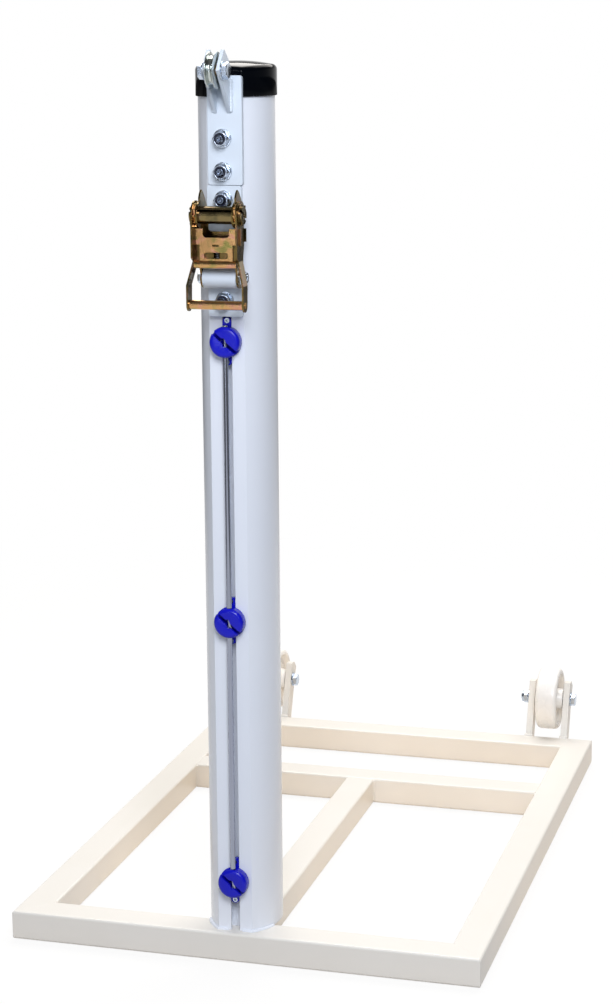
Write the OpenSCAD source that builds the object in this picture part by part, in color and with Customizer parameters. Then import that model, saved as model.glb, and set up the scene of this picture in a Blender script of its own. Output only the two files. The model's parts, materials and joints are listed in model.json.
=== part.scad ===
// Free-standing tennis net post on a wheeled tube frame.
// The origin is on the floor under the post's axis. +X is to the right, +Y runs back along the
// frame away from the net, and +Z is up. Lengths are in millimetres.

/* [Floor frame] */
// Width of the floor frame, left to right
frame_w = 588; // [520:1:680]
// Depth of the floor frame, front to back
frame_d = 854; // [780:1:960]
// Distance of the frame's centre line to the right of the post's axis
frame_shift = 9; // [-20:1:20]
// Width of the frame tubes
rail_w = 42; // [36:1:50]
// Height of the frame tubes
rail_h = 36; // [30:1:45]
// Wall of the frame tubes
rail_wall = 2; // [1.5:0.5:3]
// Corner radius of the frame tubes
rail_r = 3; // [2.5:0.5:5]
// Distance from the frame's front face to the cross rail's front face
cross_from_front = 596; // [540:1:700]
// Width of the middle rail that runs from the front rail to the cross rail
middle_w = 40; // [34:1:50]
// Distance of the middle rail's centre line to the right of the post's axis
middle_shift = 6; // [-8:1:8]

/* [Post] */
// Height of the post's top end above the floor
post_top = 1052; // [1046:1:1090]
// Width of the oval post, left to right
post_w = 86; // [76:1:90]
// Depth of the oval post, front to back
post_d = 96; // [90:1:110]
// Width of the post's flat front and back faces
post_flat = 42; // [41:1:48]
// Wall of the post
post_wall = 3; // [2:0.5:4]
// Distance from the frame's front face back to the post's flat front
post_setback = 12.5; // [10:0.5:20]
// Width of the groove's mouth
groove_mouth = 11; // [10.8:0.1:12]
// Thickness of the lips beside the groove's mouth
groove_lip = 4; // [3:0.5:5]
// Width of the groove behind its lips
groove_w = 19; // [18.5:0.5:24]
// Depth of the groove behind its lips
groove_deep = 10; // [9:0.5:12]
// Wall of the channel that the groove runs in
channel_wall = 2.5; // [2:0.5:3.5]

/* [End cap] */
// How far the cap's skirt reaches down the post
cap_reach = 26; // [18:1:32]
// Thickness of the cap's skirt
cap_skirt = 2.6; // [2:0.2:3.4]
// Height of the cap's crown over the post's end
cap_crown = 13; // [9:1:16]
// Radius of the cap's domed crown
crown_r = 210; // [150:10:300]

/* [Transport wheels] */
// Diameter of the wheels
wheel_d = 94; // [80:1:100]
// Width of a wheel's tread
tread_w = 32; // [28:1:38]
// Length of a wheel's hub
hub_w = 42; // [40:1:46]
// Diameter of a wheel's hub boss
hub_d = 30; // [24:1:34]
// Distance of the left wheel to the left of the frame's centre line
left_wheel_out = 218.5; // [180:0.5:230]
// Distance of the right wheel to the right of the frame's centre line
right_wheel_out = 223.5; // [180:0.5:230]
// Distance of the wheel axle behind the frame's back face
axle_back = 32; // [28:1:40]
// Height of the wheel axle above the floor
axle_z = 88; // [84:1:100]
// Thickness of the upright ears that hold a wheel
ear_t = 9.5; // [6:0.5:11]
// Depth of the wheel ears, front to back
ear_deep = 24; // [22:1:34]
// Height of the wheel ears above the axle
ear_above = 26; // [18:1:30]
// Side clearance between a hub and its ears
hub_gap = 0.75; // [0.3:0.05:1]

/* [Pulley] */
// Height of the pulley's axis above the post's end
pulley_up = 3.5; // [0:0.5:10]
// Distance of the pulley's axis in front of its bracket plate
pulley_out = 29; // [26:1:34]
// Diameter of the pulley over its flanges
pulley_d = 41; // [36:1:44]
// Diameter of the pulley at the bottom of its groove
pulley_root = 30; // [26:1:33]
// Width of the pulley
pulley_w = 9.5; // [8:0.5:12]
// Gap between the pulley's side and each ear
pulley_gap = 1.4; // [0.6:0.1:2]
// Thickness of the bracket's two ears
bracket_ear_t = 4; // [3:0.5:6]
// Thickness of the bracket's plate
bracket_t = 6; // [4:0.5:7]
// Width of the bracket's plate and of the ratchet's plate
plate_w = 40.5; // [36:0.5:42]
// Distance of the bracket plate's middle to the right of the groove
bracket_shift = 2.5; // [-3:0.5:3]
// Height of the bracket's plate
bracket_h = 121; // [110:1:126]
// Distance of the bracket plate's lower edge below the post's end
bracket_down = 123.5; // [120:0.5:126]
// Height of the upper clamp bolt above the bracket plate's lower edge
clamp_1_up = 52; // [44:0.5:56]
// Height of the lower clamp bolt above the bracket plate's lower edge
clamp_2_up = 15; // [13:0.5:20]

/* [Ratchet plate] */
// Thickness of the ratchet's plate
mount_t = 5; // [4:0.5:7]
// Height of the ratchet's plate
mount_h = 148; // [144:1:156]
// Distance of the upper clamp bolt below the ratchet plate's upper edge
clamp_3_down = 16; // [12.5:0.5:17]
// Height of the lower clamp bolt above the ratchet plate's lower edge
clamp_4_up = 18.5; // [14:0.5:20]
// Diameter of the anchor tube on the ratchet's plate
anchor_d = 25; // [22:1:28]
// Length of the anchor tube
anchor_w = 39.5; // [36:0.5:46]
// Distance of the anchor tube's axis below the drum's axis
anchor_down = 71; // [67:1:73]

/* [Ratchet] */
// Distance of the ratchet and its plate to the right of the groove
ratchet_shift = 0.5; // [-2:0.5:2]
// Distance of the drum's axis in front of the ratchet's plate
drum_out = 25; // [24:0.5:27]
// Distance of the drum's axis below the ratchet plate's upper edge
drum_down = 31; // [28:1:34]
// Diameter of the split drum
drum_d = 20; // [16:1:22]
// Width of the strap slot through the drum
strap_slot = 3.2; // [2.5:0.1:3.8]
// Angle of the strap slot above the horizontal
slot_angle = 32; // [0:1:90]
// Thickness of the ratchet's side plates and handle arms
sheet_t = 2; // [1.5:0.5:2.5]
// Diameter of the toothed wheels over their teeth
gear_d = 30; // [28:1:31]
// Number of teeth on each toothed wheel
gear_teeth = 12; // [8:1:16]
// Thickness of the toothed wheels
gear_t = 2.5; // [2:0.5:3]
// Distance from the drum's axis down to the grip's axis
grip_down = 100; // [96:1:108]
// Diameter of the grip
grip_d = 10.5; // [9:0.5:12]
// How far each handle arm widens out towards the grip
arm_flare = 6.5; // [2:0.5:8]
// Travel of the release slider
release_travel = 6; // [4:0.5:7]
// Travel of the lock slider
lock_travel = 5; // [4:0.5:6]
// Thickness of the two sliders
slider_t = 2; // [1.5:0.5:2.5]
// Gap between a slider's tongues and the tips of the teeth
tooth_gap = 0.4; // [0.3:0.1:1]

/* [Lacing rod and clips] */
// Diameter of the lacing rod
rod_d = 6; // [5:0.5:7]
// Length of rod below the bottom clip
rod_under = 14; // [4:1:15]
// Length of rod above the top clip
rod_over = 19.5; // [19.5:0.5:23]
// Height of the bottom clip above the floor
bottom_clip_z = 99; // [80:1:102]
// Height of the middle clip above the floor
middle_clip_z = 421; // [300:1:560]
// Distance of the top clip below the ratchet's plate
top_clip_down = 29; // [28:1:80]
// Diameter of the clips
clip_d = 36; // [34:1:42]
// Thickness of a clip's back plate
clip_back = 2.5; // [2:0.5:3]
// Thickness of a clip's two front hooks
clip_hook = 3.5; // [3:0.5:6]
// Length of the slides that the clips turn on
slide_len = 55; // [50:1:57]
// Angle from a clip's closed position to its open one
clip_turn = 50; // [30:5:60]

/* [Fasteners] */
// Thread diameter of the bolts on the post
bolt_d = 10; // [8:1:10]
// Width across the flats of their heads and nuts
bolt_af = 17; // [15:1:17]
// Thread diameter of the wheel bolts
axle_d = 10; // [8:1:10]
// Width across the flats of the wheel bolts
axle_af = 17; // [15:1:17]

/* [Hidden] */

$fn = 64;
eps = 0.01;
fit_gap = 0.1; // radial gap of a shaft that turns in a hole
seat_gap = 0.3; // gap between a moving piece and the face beside it
far = 400; // longer than any cut needs

white = "whitesmoke";
zinc = "silver";
gold = "darkkhaki";
blue = "mediumblue";

// The floor frame's faces, seen from above
front_y = -post_d / 2 - post_setback;
rear_y = front_y + frame_d;
left_x = frame_shift - frame_w / 2;
right_x = frame_shift + frame_w / 2;
cross_y = front_y + cross_from_front;

// The post's faces and the circle that each of its rounded sides lies on
face_y = -post_d / 2;
side_c = (pow(post_w, 2) - pow(post_flat, 2) - pow(post_d, 2)) / (4 * (post_w - post_flat));
side_r = post_w / 2 - side_c;
lip_y = face_y + groove_lip;
groove_y = lip_y + groove_deep;
crown_top = post_top + cap_crown;
cap_bottom = post_top - cap_reach;

// Heights on the post, from its end down
pulley_z = post_top + pulley_up;
bracket_z = post_top - bracket_down;
mount_top = bracket_z - 0.5;
mount_z = mount_top - mount_h;
drum_z = mount_top - drum_down;
anchor_z = drum_z - anchor_down;
clamp_zs = [bracket_z + clamp_1_up, bracket_z + clamp_2_up, mount_top - clamp_3_down,
    mount_z + clamp_4_up];
top_clip_z = mount_z - top_clip_down;
rod_top = top_clip_z + rod_over;
rod_bottom = bottom_clip_z - rod_under;

// Fasteners
washer_t = 2;
nut_h = 10;
nut_hex_h = 7.2;
bolt_end = 1.5;
insert_d = 13.4;
insert_h = 2.4;
head_h = 6.4;
washer_d = bolt_d * 2.1;
hole_d = bolt_d + 1;
slot_head_h = 6;
slot_head_w = 16;
clamp_ts = [bracket_t, bracket_t, mount_t, mount_t];

// Wheels
axle_y = rear_y + axle_back;
wheel_xs = [frame_shift - left_wheel_out, frame_shift + right_wheel_out];
ear_in = hub_w / 2 + hub_gap;
ear_out = ear_in + ear_t;
sleeve_wall = 1.5;
sleeve_d = axle_d + 0.4 + 2 * sleeve_wall;
axle_washer_t = 2;
axle_washer_d = 21;
axle_head_h = 6.4;
axle_nut_h = 9;
axle_nut_hex_h = 6.5;

// Pulley bracket
bracket_front = face_y - bracket_t;
plate_corner = 3;
pulley_y = bracket_front - pulley_out;
bracket_ear_in = pulley_w / 2 + pulley_gap;
bracket_ear_out = bracket_ear_in + bracket_ear_t;
pulley_sleeve_d = bolt_d + 2.4;
pulley_washer_t = 1;
pulley_nut_h = 6;
bracket_top = bracket_z + bracket_h;

// Ratchet, measured to each side of its own middle
mount_front = face_y - mount_t;
anchor_y = mount_front - anchor_d / 2;
drum_y = mount_front - drum_out;
side_in = anchor_w / 2 + 0.35;
side_out = side_in + sheet_t;
gear_in = side_out + seat_gap;
gear_out = gear_in + gear_t;
arm_in = gear_out + seat_gap;
arm_out = arm_in + sheet_t;
drum_end = arm_out + 3.6;
drum_washer_t = 0.8;
pin_d = 2.6;
pin_x = arm_out + seat_gap + drum_washer_t + pin_d / 2 + 0.1;
tooth_deep = 3;

// Ratchet, front to back: the webs that carry the sliders and the sliders in front of them
web_t = 2.2;
tip_r = gear_d / 2 + tooth_gap;
release_web_y = drum_y - 5.5;
release_y = release_web_y - seat_gap - slider_t;
release_top = drum_z - sqrt(pow(tip_r, 2) - pow(drum_y - release_y - slider_t, 2)) - 0.4;
lock_web_y = drum_y + 14.5;
lock_y = lock_web_y - seat_gap - slider_t;
lock_top = drum_z - sqrt(pow(tip_r, 2) - pow(lock_y - drum_y, 2));
release_tongue = 18;
lock_tongue = 21;
lock_tab_down = 6;
tongue_reach = 1.8;
slider_h = 40;
slider_half = side_in - 0.8;
lip_r = 4;
grip_y = drum_y - 7.5;
grip_z = drum_z - grip_down;
grip_end_r = 7.5;
stud_d = 6;
flare_from = drum_z - 51;
flare_to = drum_z - 78;
side_plate_r = gear_d / 2 - 0.5;
arm_r = 16;
anchor_r = 12;
anchor_bolt_d = 8;
anchor_af = 13;
anchor_head_h = 5.3;
anchor_washer_t = 1.2;
anchor_nut_h = 6.6;
spring_d = 5;
spring_wire = 0.8;
spring_turns = 6;
spring_len = 14;
tab_h = 2;
tab_w = 6;
release_tab_z = release_top - release_tongue - 4;
lock_tab_z = lock_top - lock_tongue - 4;

// Clips
clip_zs = [bottom_clip_z, middle_clip_z, top_clip_z];
slide_proud = 0.6;
clip_y = face_y - slide_proud - seat_gap;
rod_gap = 0.5;
rod_y = clip_y - clip_back - rod_gap - rod_d / 2;
hook_y = rod_y - rod_d / 2 - rod_gap;
clip_front = hook_y - clip_hook;
channel_w = rod_d + 2 * rod_gap;
clip_mouth = rod_d * 0.72;
clip_eye_w = rod_d * 0.9;
clip_eye_h = rod_d * 1.9;
spigot_d = 8;
spigot_collar = 10;
collar_t = 1.5;
spigot_end = -lip_y - 2.4;
slide_foot_w = groove_w - 1;
slide_foot_t = 4;
slide_neck_w = groove_mouth - 0.4;
screw_d = 6;
screw_out = 24;

// Rectangle with round corners, its lower edge on the axis
module round_rect(w, h, r) {
    translate([-w / 2, r]) square([w, h - 2 * r]);
    translate([-w / 2 + r, 0]) square([w - 2 * r, h]);
    for (x = [-1, 1], y = [r, h - r]) translate([x * (w / 2 - r), y]) circle(r);
}

// Cross-section of a frame tube
module rail_section(w) {
    difference() {
        round_rect(w, rail_h, rail_r);
        translate([0, rail_wall])
            round_rect(w - 2 * rail_wall, rail_h - 2 * rail_wall, rail_r - rail_wall + 0.5);
    }
}

// A tube along X from x0 to x1, centred on y
module tube_x(x0, x1, y, w) {
    translate([x0, y, 0]) rotate([90, 0, 90]) linear_extrude(x1 - x0) rail_section(w);
}

// A tube along Y from y0 to y1, centred on x
module tube_y(y0, y1, x, w) {
    translate([x, y1, 0]) rotate([90, 0, 0]) linear_extrude(y1 - y0) rail_section(w);
}

// Plan of a mitred rail: the outer edge runs a-b, and both ends are cut at 45 degrees
module mitre_front(y, inward) {
    linear_extrude(rail_h)
        polygon([[left_x, y], [right_x, y], [right_x - rail_w, y + inward],
            [left_x + rail_w, y + inward]]);
}

module mitre_side(x, inward) {
    linear_extrude(rail_h)
        polygon([[x, front_y], [x, rear_y], [x + inward, rear_y - rail_w],
            [x + inward, front_y + rail_w]]);
}

module front_rail() {
    color(white) intersection() {
        tube_x(left_x, right_x, front_y + rail_w / 2, rail_w);
        mitre_front(front_y, rail_w);
    }
}

module rear_rail() {
    color(white) intersection() {
        tube_x(left_x, right_x, rear_y - rail_w / 2, rail_w);
        mitre_front(rear_y, -rail_w);
    }
}

module left_rail() {
    color(white) intersection() {
        tube_y(front_y, rear_y, left_x + rail_w / 2, rail_w);
        mitre_side(left_x, rail_w);
    }
}

module right_rail() {
    color(white) intersection() {
        tube_y(front_y, rear_y, right_x - rail_w / 2, rail_w);
        mitre_side(right_x, -rail_w);
    }
}

module cross_rail() {
    color(white) tube_x(left_x + rail_w, right_x - rail_w, cross_y + rail_w / 2, rail_w);
}

module middle_rail() {
    color(white) tube_y(front_y + rail_w, cross_y, middle_shift, middle_w);
}

// Hexagonal prism by its width across the flats
module hex(af, h) {
    cylinder(d = af / cos(30), h = h, $fn = 6);
}

module ring(d_out, d_in, h) {
    difference() {
        cylinder(d = d_out, h = h);
        translate([0, 0, -eps]) cylinder(d = d_in, h = h + 2 * eps);
    }
}

// Bolt whose shank runs up from 0, with its hexagon head below 0
module hex_bolt(d, length, af, head) {
    translate([0, 0, -head]) hex(af, head);
    cylinder(d = d, h = length);
}

// Locking nut that sits on 0, with a round collar for its nylon ring on top
module lock_nut(d, af, h, hex_h) {
    difference() {
        union() {
            hex(af, hex_h);
            cylinder(d = af - 1, h = h);
        }
        translate([0, 0, -eps]) cylinder(d = d + fit_gap, h = h + 1);
        translate([0, 0, h - insert_h]) cylinder(d = d + insert_d - bolt_d, h = insert_h + 1);
    }
}

module insert(d, h) {
    translate([0, 0, h - insert_h]) ring(d + insert_d - bolt_d - fit_gap, d + fit_gap, insert_h - 0.4);
}

// Turns a piece that points up so that it points forward, right or left
module forward(y, z) {
    translate([0, y, z]) rotate([90, 0, 0]) children();
}

module rightward(x, y, z) {
    translate([x, y, z]) rotate([0, 90, 0]) children();
}

module leftward(x, y, z) {
    translate([x, y, z]) rotate([0, -90, 0]) children();
}

// Side outline in Y and Z, made solid from x0 to x1
module side_solid(x0, x1) {
    translate([x0, 0, 0]) rotate([90, 0, 90]) linear_extrude(x1 - x0) children();
}

// Wheels and their ears
module ear_outline() {
    lean = axle_back - ear_deep / 2;
    rise = axle_z - rail_h;
    top = axle_z + ear_above;
    slope = lean / rise;
    polygon([[rear_y, 4], [rear_y, rail_h], [rear_y + slope * (top - rail_h), top],
        [rear_y + slope * (top - rail_h) + ear_deep * 0.5, top],
        [rear_y + slope * (top - rail_h) + ear_deep * 0.95, top - ear_deep * 0.42],
        [rear_y + lean + ear_deep, axle_z], [rear_y + ear_deep * 0.72, rail_h * 0.55],
        [rear_y + ear_deep * 0.5, 4]]);
}

module wheel_ear(x) {
    difference() {
        side_solid(x - ear_t / 2, x + ear_t / 2) ear_outline();
        rightward(x - ear_t, axle_y, axle_z) cylinder(d = axle_d + 0.6, h = 2 * ear_t);
    }
}

module wheel_ears() {
    color(white) for (x = wheel_xs, s = [-1, 1]) wheel_ear(x + s * (ear_in + ear_out) / 2);
}

// Half of a wheel's section, from its bore to its tread, mirrored about its middle
module wheel_section() {
    r = wheel_d / 2;
    bore = sleeve_d / 2 + fit_gap;
    polygon([[bore, -hub_w / 2], [hub_d / 2, -hub_w / 2], [hub_d / 2 + 2, -tread_w * 0.3],
        [r * 0.72, -tread_w * 0.3], [r * 0.8, -tread_w / 2], [r * 0.9, -tread_w / 2],
        [r * 0.975, -tread_w * 0.44], [r, -tread_w * 0.32], [r, tread_w * 0.32],
        [r * 0.975, tread_w * 0.44], [r * 0.9, tread_w / 2], [r * 0.8, tread_w / 2],
        [r * 0.72, tread_w * 0.3], [hub_d / 2 + 2, tread_w * 0.3], [hub_d / 2, hub_w / 2],
        [bore, hub_w / 2]]);
}

module wheel(x) {
    color("ivory") rightward(x, axle_y, axle_z) rotate_extrude($fn = 96) wheel_section();
}

module left_wheel() {
    wheel(wheel_xs[0]);
}

module right_wheel() {
    wheel(wheel_xs[1]);
}

module wheel_sleeves() {
    color(zinc) for (x = wheel_xs)
        rightward(x - ear_in, axle_y, axle_z) ring(sleeve_d, axle_d + 0.4, 2 * ear_in);
}

module wheel_bolts() {
    length = 2 * ear_out + 2 * axle_washer_t + axle_nut_h + bolt_end;
    color(zinc) for (x = wheel_xs) leftward(x + ear_out + axle_washer_t, axle_y, axle_z)
        hex_bolt(axle_d, length, axle_af, axle_head_h);
}

module wheel_nuts() {
    color(zinc) for (x = wheel_xs) leftward(x - ear_out - axle_washer_t, axle_y, axle_z)
        lock_nut(axle_d, axle_af, axle_nut_h, axle_nut_hex_h);
}

module wheel_washers() {
    color(zinc) for (x = wheel_xs) {
        rightward(x + ear_out, axle_y, axle_z)
            ring(axle_washer_d, axle_d + fit_gap, axle_washer_t);
        leftward(x - ear_out, axle_y, axle_z)
            ring(axle_washer_d, axle_d + fit_gap, axle_washer_t);
    }
}

// Outline of the oval post, or of a shape that follows it at a distance
module oval(grow) {
    intersection() {
        translate([side_c, 0]) circle(side_r + grow, $fn = 180);
        translate([-side_c, 0]) circle(side_r + grow, $fn = 180);
        square([far, post_d + 2 * grow], center = true);
    }
}

module groove_section() {
    translate([-groove_mouth / 2, face_y - 1]) square([groove_mouth, groove_lip + 2]);
    translate([-groove_w / 2, lip_y]) square([groove_w, groove_deep]);
}

module post_section() {
    channel_w_out = groove_w + 2 * channel_wall;
    difference() {
        union() {
            difference() {
                oval(0);
                oval(-post_wall);
            }
            intersection() {
                oval(-1);
                translate([-channel_w_out / 2, face_y])
                    square([channel_w_out, groove_y - face_y + channel_wall]);
            }
        }
        groove_section();
    }
}

module post() {
    color(white) translate([0, 0, rail_h]) linear_extrude(post_top - rail_h) post_section();
}

// Cap that slips over the post and is notched for the bracket's plate
module end_cap() {
    color("black") difference() {
        intersection() {
            translate([0, 0, cap_bottom]) linear_extrude(crown_top - cap_bottom) oval(cap_skirt);
            translate([0, 0, crown_top - crown_r]) sphere(crown_r, $fn = 180);
        }
        translate([0, 0, cap_bottom - 1]) linear_extrude(post_top - cap_bottom + 1) oval(0.2);
        translate([bracket_shift - plate_w / 2 - 0.4, face_y - far / 2, cap_bottom - 1])
            cube([plate_w + 0.8, far / 2, bracket_top - cap_bottom + 1.4]);
    }
}

// Pulley bracket: a plate on the post's face and two ears that taper down into it
module bracket_ear_outline() {
    polygon([[bracket_front + 1, pulley_z - 49], [pulley_y - 12, pulley_z + 0.5],
        [pulley_y + 6.5, pulley_z + 22.5], [pulley_y + 9.5, pulley_z + 22],
        [pulley_y + 24, pulley_z + 11], [bracket_front + 1, bracket_top]]);
}

module pulley_bracket() {
    ear_mid = (bracket_ear_in + bracket_ear_out) / 2;
    color(white) difference() {
        union() {
            translate([bracket_shift, 0, 0]) forward(face_y, bracket_z) linear_extrude(bracket_t)
                round_rect(plate_w, bracket_h, plate_corner);
            for (s = [-1, 1]) side_solid(s * ear_mid - bracket_ear_t / 2,
                s * ear_mid + bracket_ear_t / 2) bracket_ear_outline();
        }
        rightward(-far / 2, pulley_y, pulley_z) cylinder(d = bolt_d + 0.4, h = far);
        for (z = [clamp_zs[0], clamp_zs[1]]) forward(face_y + 1, z) cylinder(d = hole_d, h = far / 4);
    }
}

// Section of the pulley: two flanges and a round-bottomed groove between them
module pulley_section() {
    bore = pulley_sleeve_d / 2 + fit_gap;
    rim = pulley_d / 2;
    half = pulley_w / 2;
    throat = (pulley_d - pulley_root) / 2;
    difference() {
        translate([bore, -half]) square([rim - bore, pulley_w]);
        translate([rim, 0]) polygon([[0.1, half - 0.9], [0.1, 0.9 - half],
            [2.6 - throat, -2.6], [2.6 - throat, 2.6]]);
        translate([rim - throat + 2.6, 0]) circle(2.6);
    }
}

module pulley_wheel() {
    color(zinc) rightward(0, pulley_y, pulley_z) rotate_extrude($fn = 72) pulley_section();
}

module pulley_sleeve() {
    color("goldenrod") rightward(-bracket_ear_in, pulley_y, pulley_z)
        ring(pulley_sleeve_d, bolt_d + fit_gap, 2 * bracket_ear_in);
}

module pulley_bolt() {
    length = 2 * bracket_ear_out + 2 * pulley_washer_t + pulley_nut_h + 1;
    color(zinc) leftward(bracket_ear_out + pulley_washer_t, pulley_y, pulley_z)
        hex_bolt(bolt_d, length, bolt_af, head_h);
}

module pulley_nut() {
    color(zinc) leftward(-bracket_ear_out - pulley_washer_t, pulley_y, pulley_z) difference() {
        hex(bolt_af, pulley_nut_h);
        translate([0, 0, -eps]) cylinder(d = bolt_d + fit_gap, h = pulley_nut_h + 1);
    }
}

module pulley_washers() {
    color(zinc) {
        rightward(bracket_ear_out, pulley_y, pulley_z)
            ring(washer_d, bolt_d + fit_gap, pulley_washer_t);
        leftward(-bracket_ear_out, pulley_y, pulley_z)
            ring(washer_d, bolt_d + fit_gap, pulley_washer_t);
    }
}

// Clamp bolts: square heads behind the groove's lips, nuts in front of the plates
module clamp_bolts() {
    color(zinc) for (i = [0:3]) {
        length = groove_lip + clamp_ts[i] + washer_t + nut_h + bolt_end;
        forward(lip_y, clamp_zs[i]) cylinder(d = bolt_d, h = length);
        translate([-slot_head_w / 2, lip_y, clamp_zs[i] - slot_head_w / 2])
            cube([slot_head_w, slot_head_h, slot_head_w]);
    }
}

module clamp_nuts() {
    color(zinc) for (i = [0:3]) forward(face_y - clamp_ts[i] - washer_t, clamp_zs[i])
        lock_nut(bolt_d, bolt_af, nut_h, nut_hex_h);
}

module clamp_washers() {
    color(zinc) for (i = [0:3]) forward(face_y - clamp_ts[i], clamp_zs[i])
        ring(washer_d, bolt_d + fit_gap, washer_t);
}

module nut_inserts() {
    color("steelblue") {
        for (i = [0:3]) forward(face_y - clamp_ts[i] - washer_t, clamp_zs[i])
            insert(bolt_d, nut_h);
        for (x = wheel_xs) leftward(x - ear_out - axle_washer_t, axle_y, axle_z)
            insert(axle_d, axle_nut_h);
        on_ratchet() rightward(side_out + anchor_washer_t, anchor_y, anchor_z)
            insert(anchor_bolt_d, anchor_nut_h);
    }
}

// Ratchet plate with the anchor tube welded across it
module ratchet_plate() {
    color(white) difference() {
        translate([ratchet_shift, 0, 0]) union() {
            forward(face_y, mount_z) linear_extrude(mount_t)
                round_rect(plate_w, mount_h, plate_corner);
            rightward(-anchor_w / 2, anchor_y, anchor_z) cylinder(d = anchor_d, h = anchor_w);
            translate([-anchor_w / 2, anchor_y, anchor_z - anchor_d * 0.3])
                cube([anchor_w, mount_front - anchor_y + 0.5, anchor_d * 0.6]);
        }
        rightward(-far / 2, anchor_y, anchor_z) cylinder(d = anchor_bolt_d + 0.4, h = far);
        for (z = [clamp_zs[2], clamp_zs[3]]) forward(face_y + 1, z) cylinder(d = hole_d, h = far / 4);
    }
}

// Moves the ratchet's pieces from the groove's middle to the ratchet's own middle
module on_ratchet() {
    translate([ratchet_shift, 0, 0]) children();
}

// Window in a web for a slider's spring and the tab that pushes on it
module spring_window(y, tab_z) {
    translate([-tab_w / 2 - 0.5, y - 1, tab_z - spring_len])
        cube([tab_w + 1, web_t + 2, spring_len + tab_h + 0.5]);
}

// Slots through both sides of a frame or handle for a slider's tongues and their travel
module slider_slots(y, top, tongue, travel) {
    translate([-far / 2, y - seat_gap, top - tongue - travel - seat_gap])
        cube([far, slider_t + 2 * seat_gap, tongue + travel + 2 * seat_gap]);
}

// Ratchet frame: two side plates joined by a web, each with a strap guide rising behind the drum
module side_plate_outline() {
    front = release_web_y + web_t + 2 * seat_gap;
    translate([drum_y, drum_z]) circle(side_plate_r);
    translate([anchor_y, anchor_z]) circle(anchor_r);
    polygon([[anchor_y - anchor_r * 0.9, anchor_z + 4], [front, anchor_z + anchor_d / 2 + 6],
        [front, drum_z - 6], [drum_y - 1.5, drum_z + 6], [drum_y - 1.5, drum_z + 19],
        [drum_y + 2, drum_z + 24.5], [drum_y + 6.5, drum_z + 27.5],
        [drum_y + 11.5, drum_z + 24], [drum_y + 17, drum_z + 18.5],
        [mount_front - 1, drum_z + 9], [mount_front - 1, anchor_z + 20],
        [anchor_y + anchor_r * 0.8, anchor_z + 6]]);
}

module ratchet_frame() {
    web_low = anchor_z + anchor_d / 2 + 3;
    web_high = lock_tab_z + tab_h + 3;
    color(gold) on_ratchet() difference() {
        union() {
            for (s = [-1, 1]) side_solid(min(s * side_in, s * side_out),
                max(s * side_in, s * side_out)) side_plate_outline();
            translate([-side_in - 1, lock_web_y, web_low])
                cube([2 * side_in + 2, web_t, web_high - web_low]);
        }
        rightward(-far / 2, drum_y, drum_z) cylinder(d = drum_d + 2 * fit_gap, h = far);
        rightward(-far / 2, anchor_y, anchor_z) cylinder(d = anchor_bolt_d + 0.4, h = far);
        slider_slots(lock_y, lock_top, lock_tongue, lock_travel);
        spring_window(lock_web_y, lock_tab_z);
    }
}

// Window with round corners through a slider's plate, its lower edge at z
module slider_window(y, z, w, h, r) {
    forward(y + slider_t + 1, z) linear_extrude(slider_t + 2) round_rect(w, h, r);
}

// Sliding pawl plate: a body between the sides, tongues at its top corners, two windows, and a
// tab that its spring pushes on
module pawl_slider(y, top, tongue, reach, web_y) {
    half = slider_half;
    difference() {
        union() {
            translate([-half, y, top - slider_h]) cube([2 * half, slider_t, slider_h]);
            translate([-reach, y, top - tongue]) cube([2 * reach, slider_t, tongue]);
            translate([-tab_w / 2, y, top - tongue - 4])
                cube([tab_w, web_y + spring_d - y, tab_h]);
        }
        slider_window(y, top - 10, half * 1.6, far / 4, 3.6);
        slider_window(y, top - slider_h + 6.5, half * 1.44, 7, 2.4);
    }
}

module lock_slider() {
    color(gold) on_ratchet() difference() {
        union() {
            pawl_slider(lock_y, lock_top, lock_tongue, gear_out + 0.1, lock_web_y);
            for (s = [-1, 1]) translate([s * (arm_out + tongue_reach + gear_in) / 2
                - (arm_out + tongue_reach - gear_in) / 2, lock_y, lock_top - lock_tongue])
                cube([arm_out + tongue_reach - gear_in, slider_t, lock_tongue - lock_tab_down]);
        }
    }
}

module release_slider() {
    color(gold) on_ratchet() difference() {
        union() {
            pawl_slider(release_y, release_top, release_tongue, arm_out + tongue_reach,
                release_web_y);
            rightward(-arm_in + 0.6, release_y + slider_t - lip_r, release_top - slider_h)
                cylinder(r = lip_r, h = 2 * arm_in - 1.2);
        }
        translate([-0.5, 0, 0]) slider_window(release_y, release_top - 20, 8, 2.5, 1.2);
    }
}

// Coil spring standing on z0, swept as one tube: rings of points round a helix
module coil(x, y, z0, height) {
    per_turn = 8;
    sides = 6;
    rings = spring_turns * per_turn;
    r = (spring_d - spring_wire) / 2;
    rise = height - spring_wire;
    middles = [for (i = [0:rings]) let (a = 360 * i / per_turn)
        [r * cos(a), r * sin(a), rise * i / rings]];
    least = min([for (i = [0:rings - per_turn], k = [per_turn - 1:min(per_turn + 1, rings - i)])
        norm(middles[i + k] - middles[i])]) - spring_wire;
    echo(str("least gap between the spring's turns: ", least, " mm"));
    points = [for (i = [0:rings], j = [0:sides - 1])
        let (a = 360 * i / per_turn, b = 360 * j / sides,
            out = r + spring_wire / 2 * cos(b))
        [x + out * cos(a), y + out * sin(a),
            z0 + spring_wire / 2 + rise * i / rings + spring_wire / 2 * sin(b)]];
    walls = [for (i = [0:rings - 1], j = [0:sides - 1])
        let (k = (j + 1) % sides, a = i * sides, b = a + sides)
        each [[a + j, b + j, b + k], [a + j, b + k, a + k]]];
    low = [for (j = [1:sides - 2]) [0, j, j + 1]];
    top = [for (j = [1:sides - 2]) let (a = rings * sides) [a, a + j + 1, a + j]];
    polyhedron(points, concat(walls, low, top));
}

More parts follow.
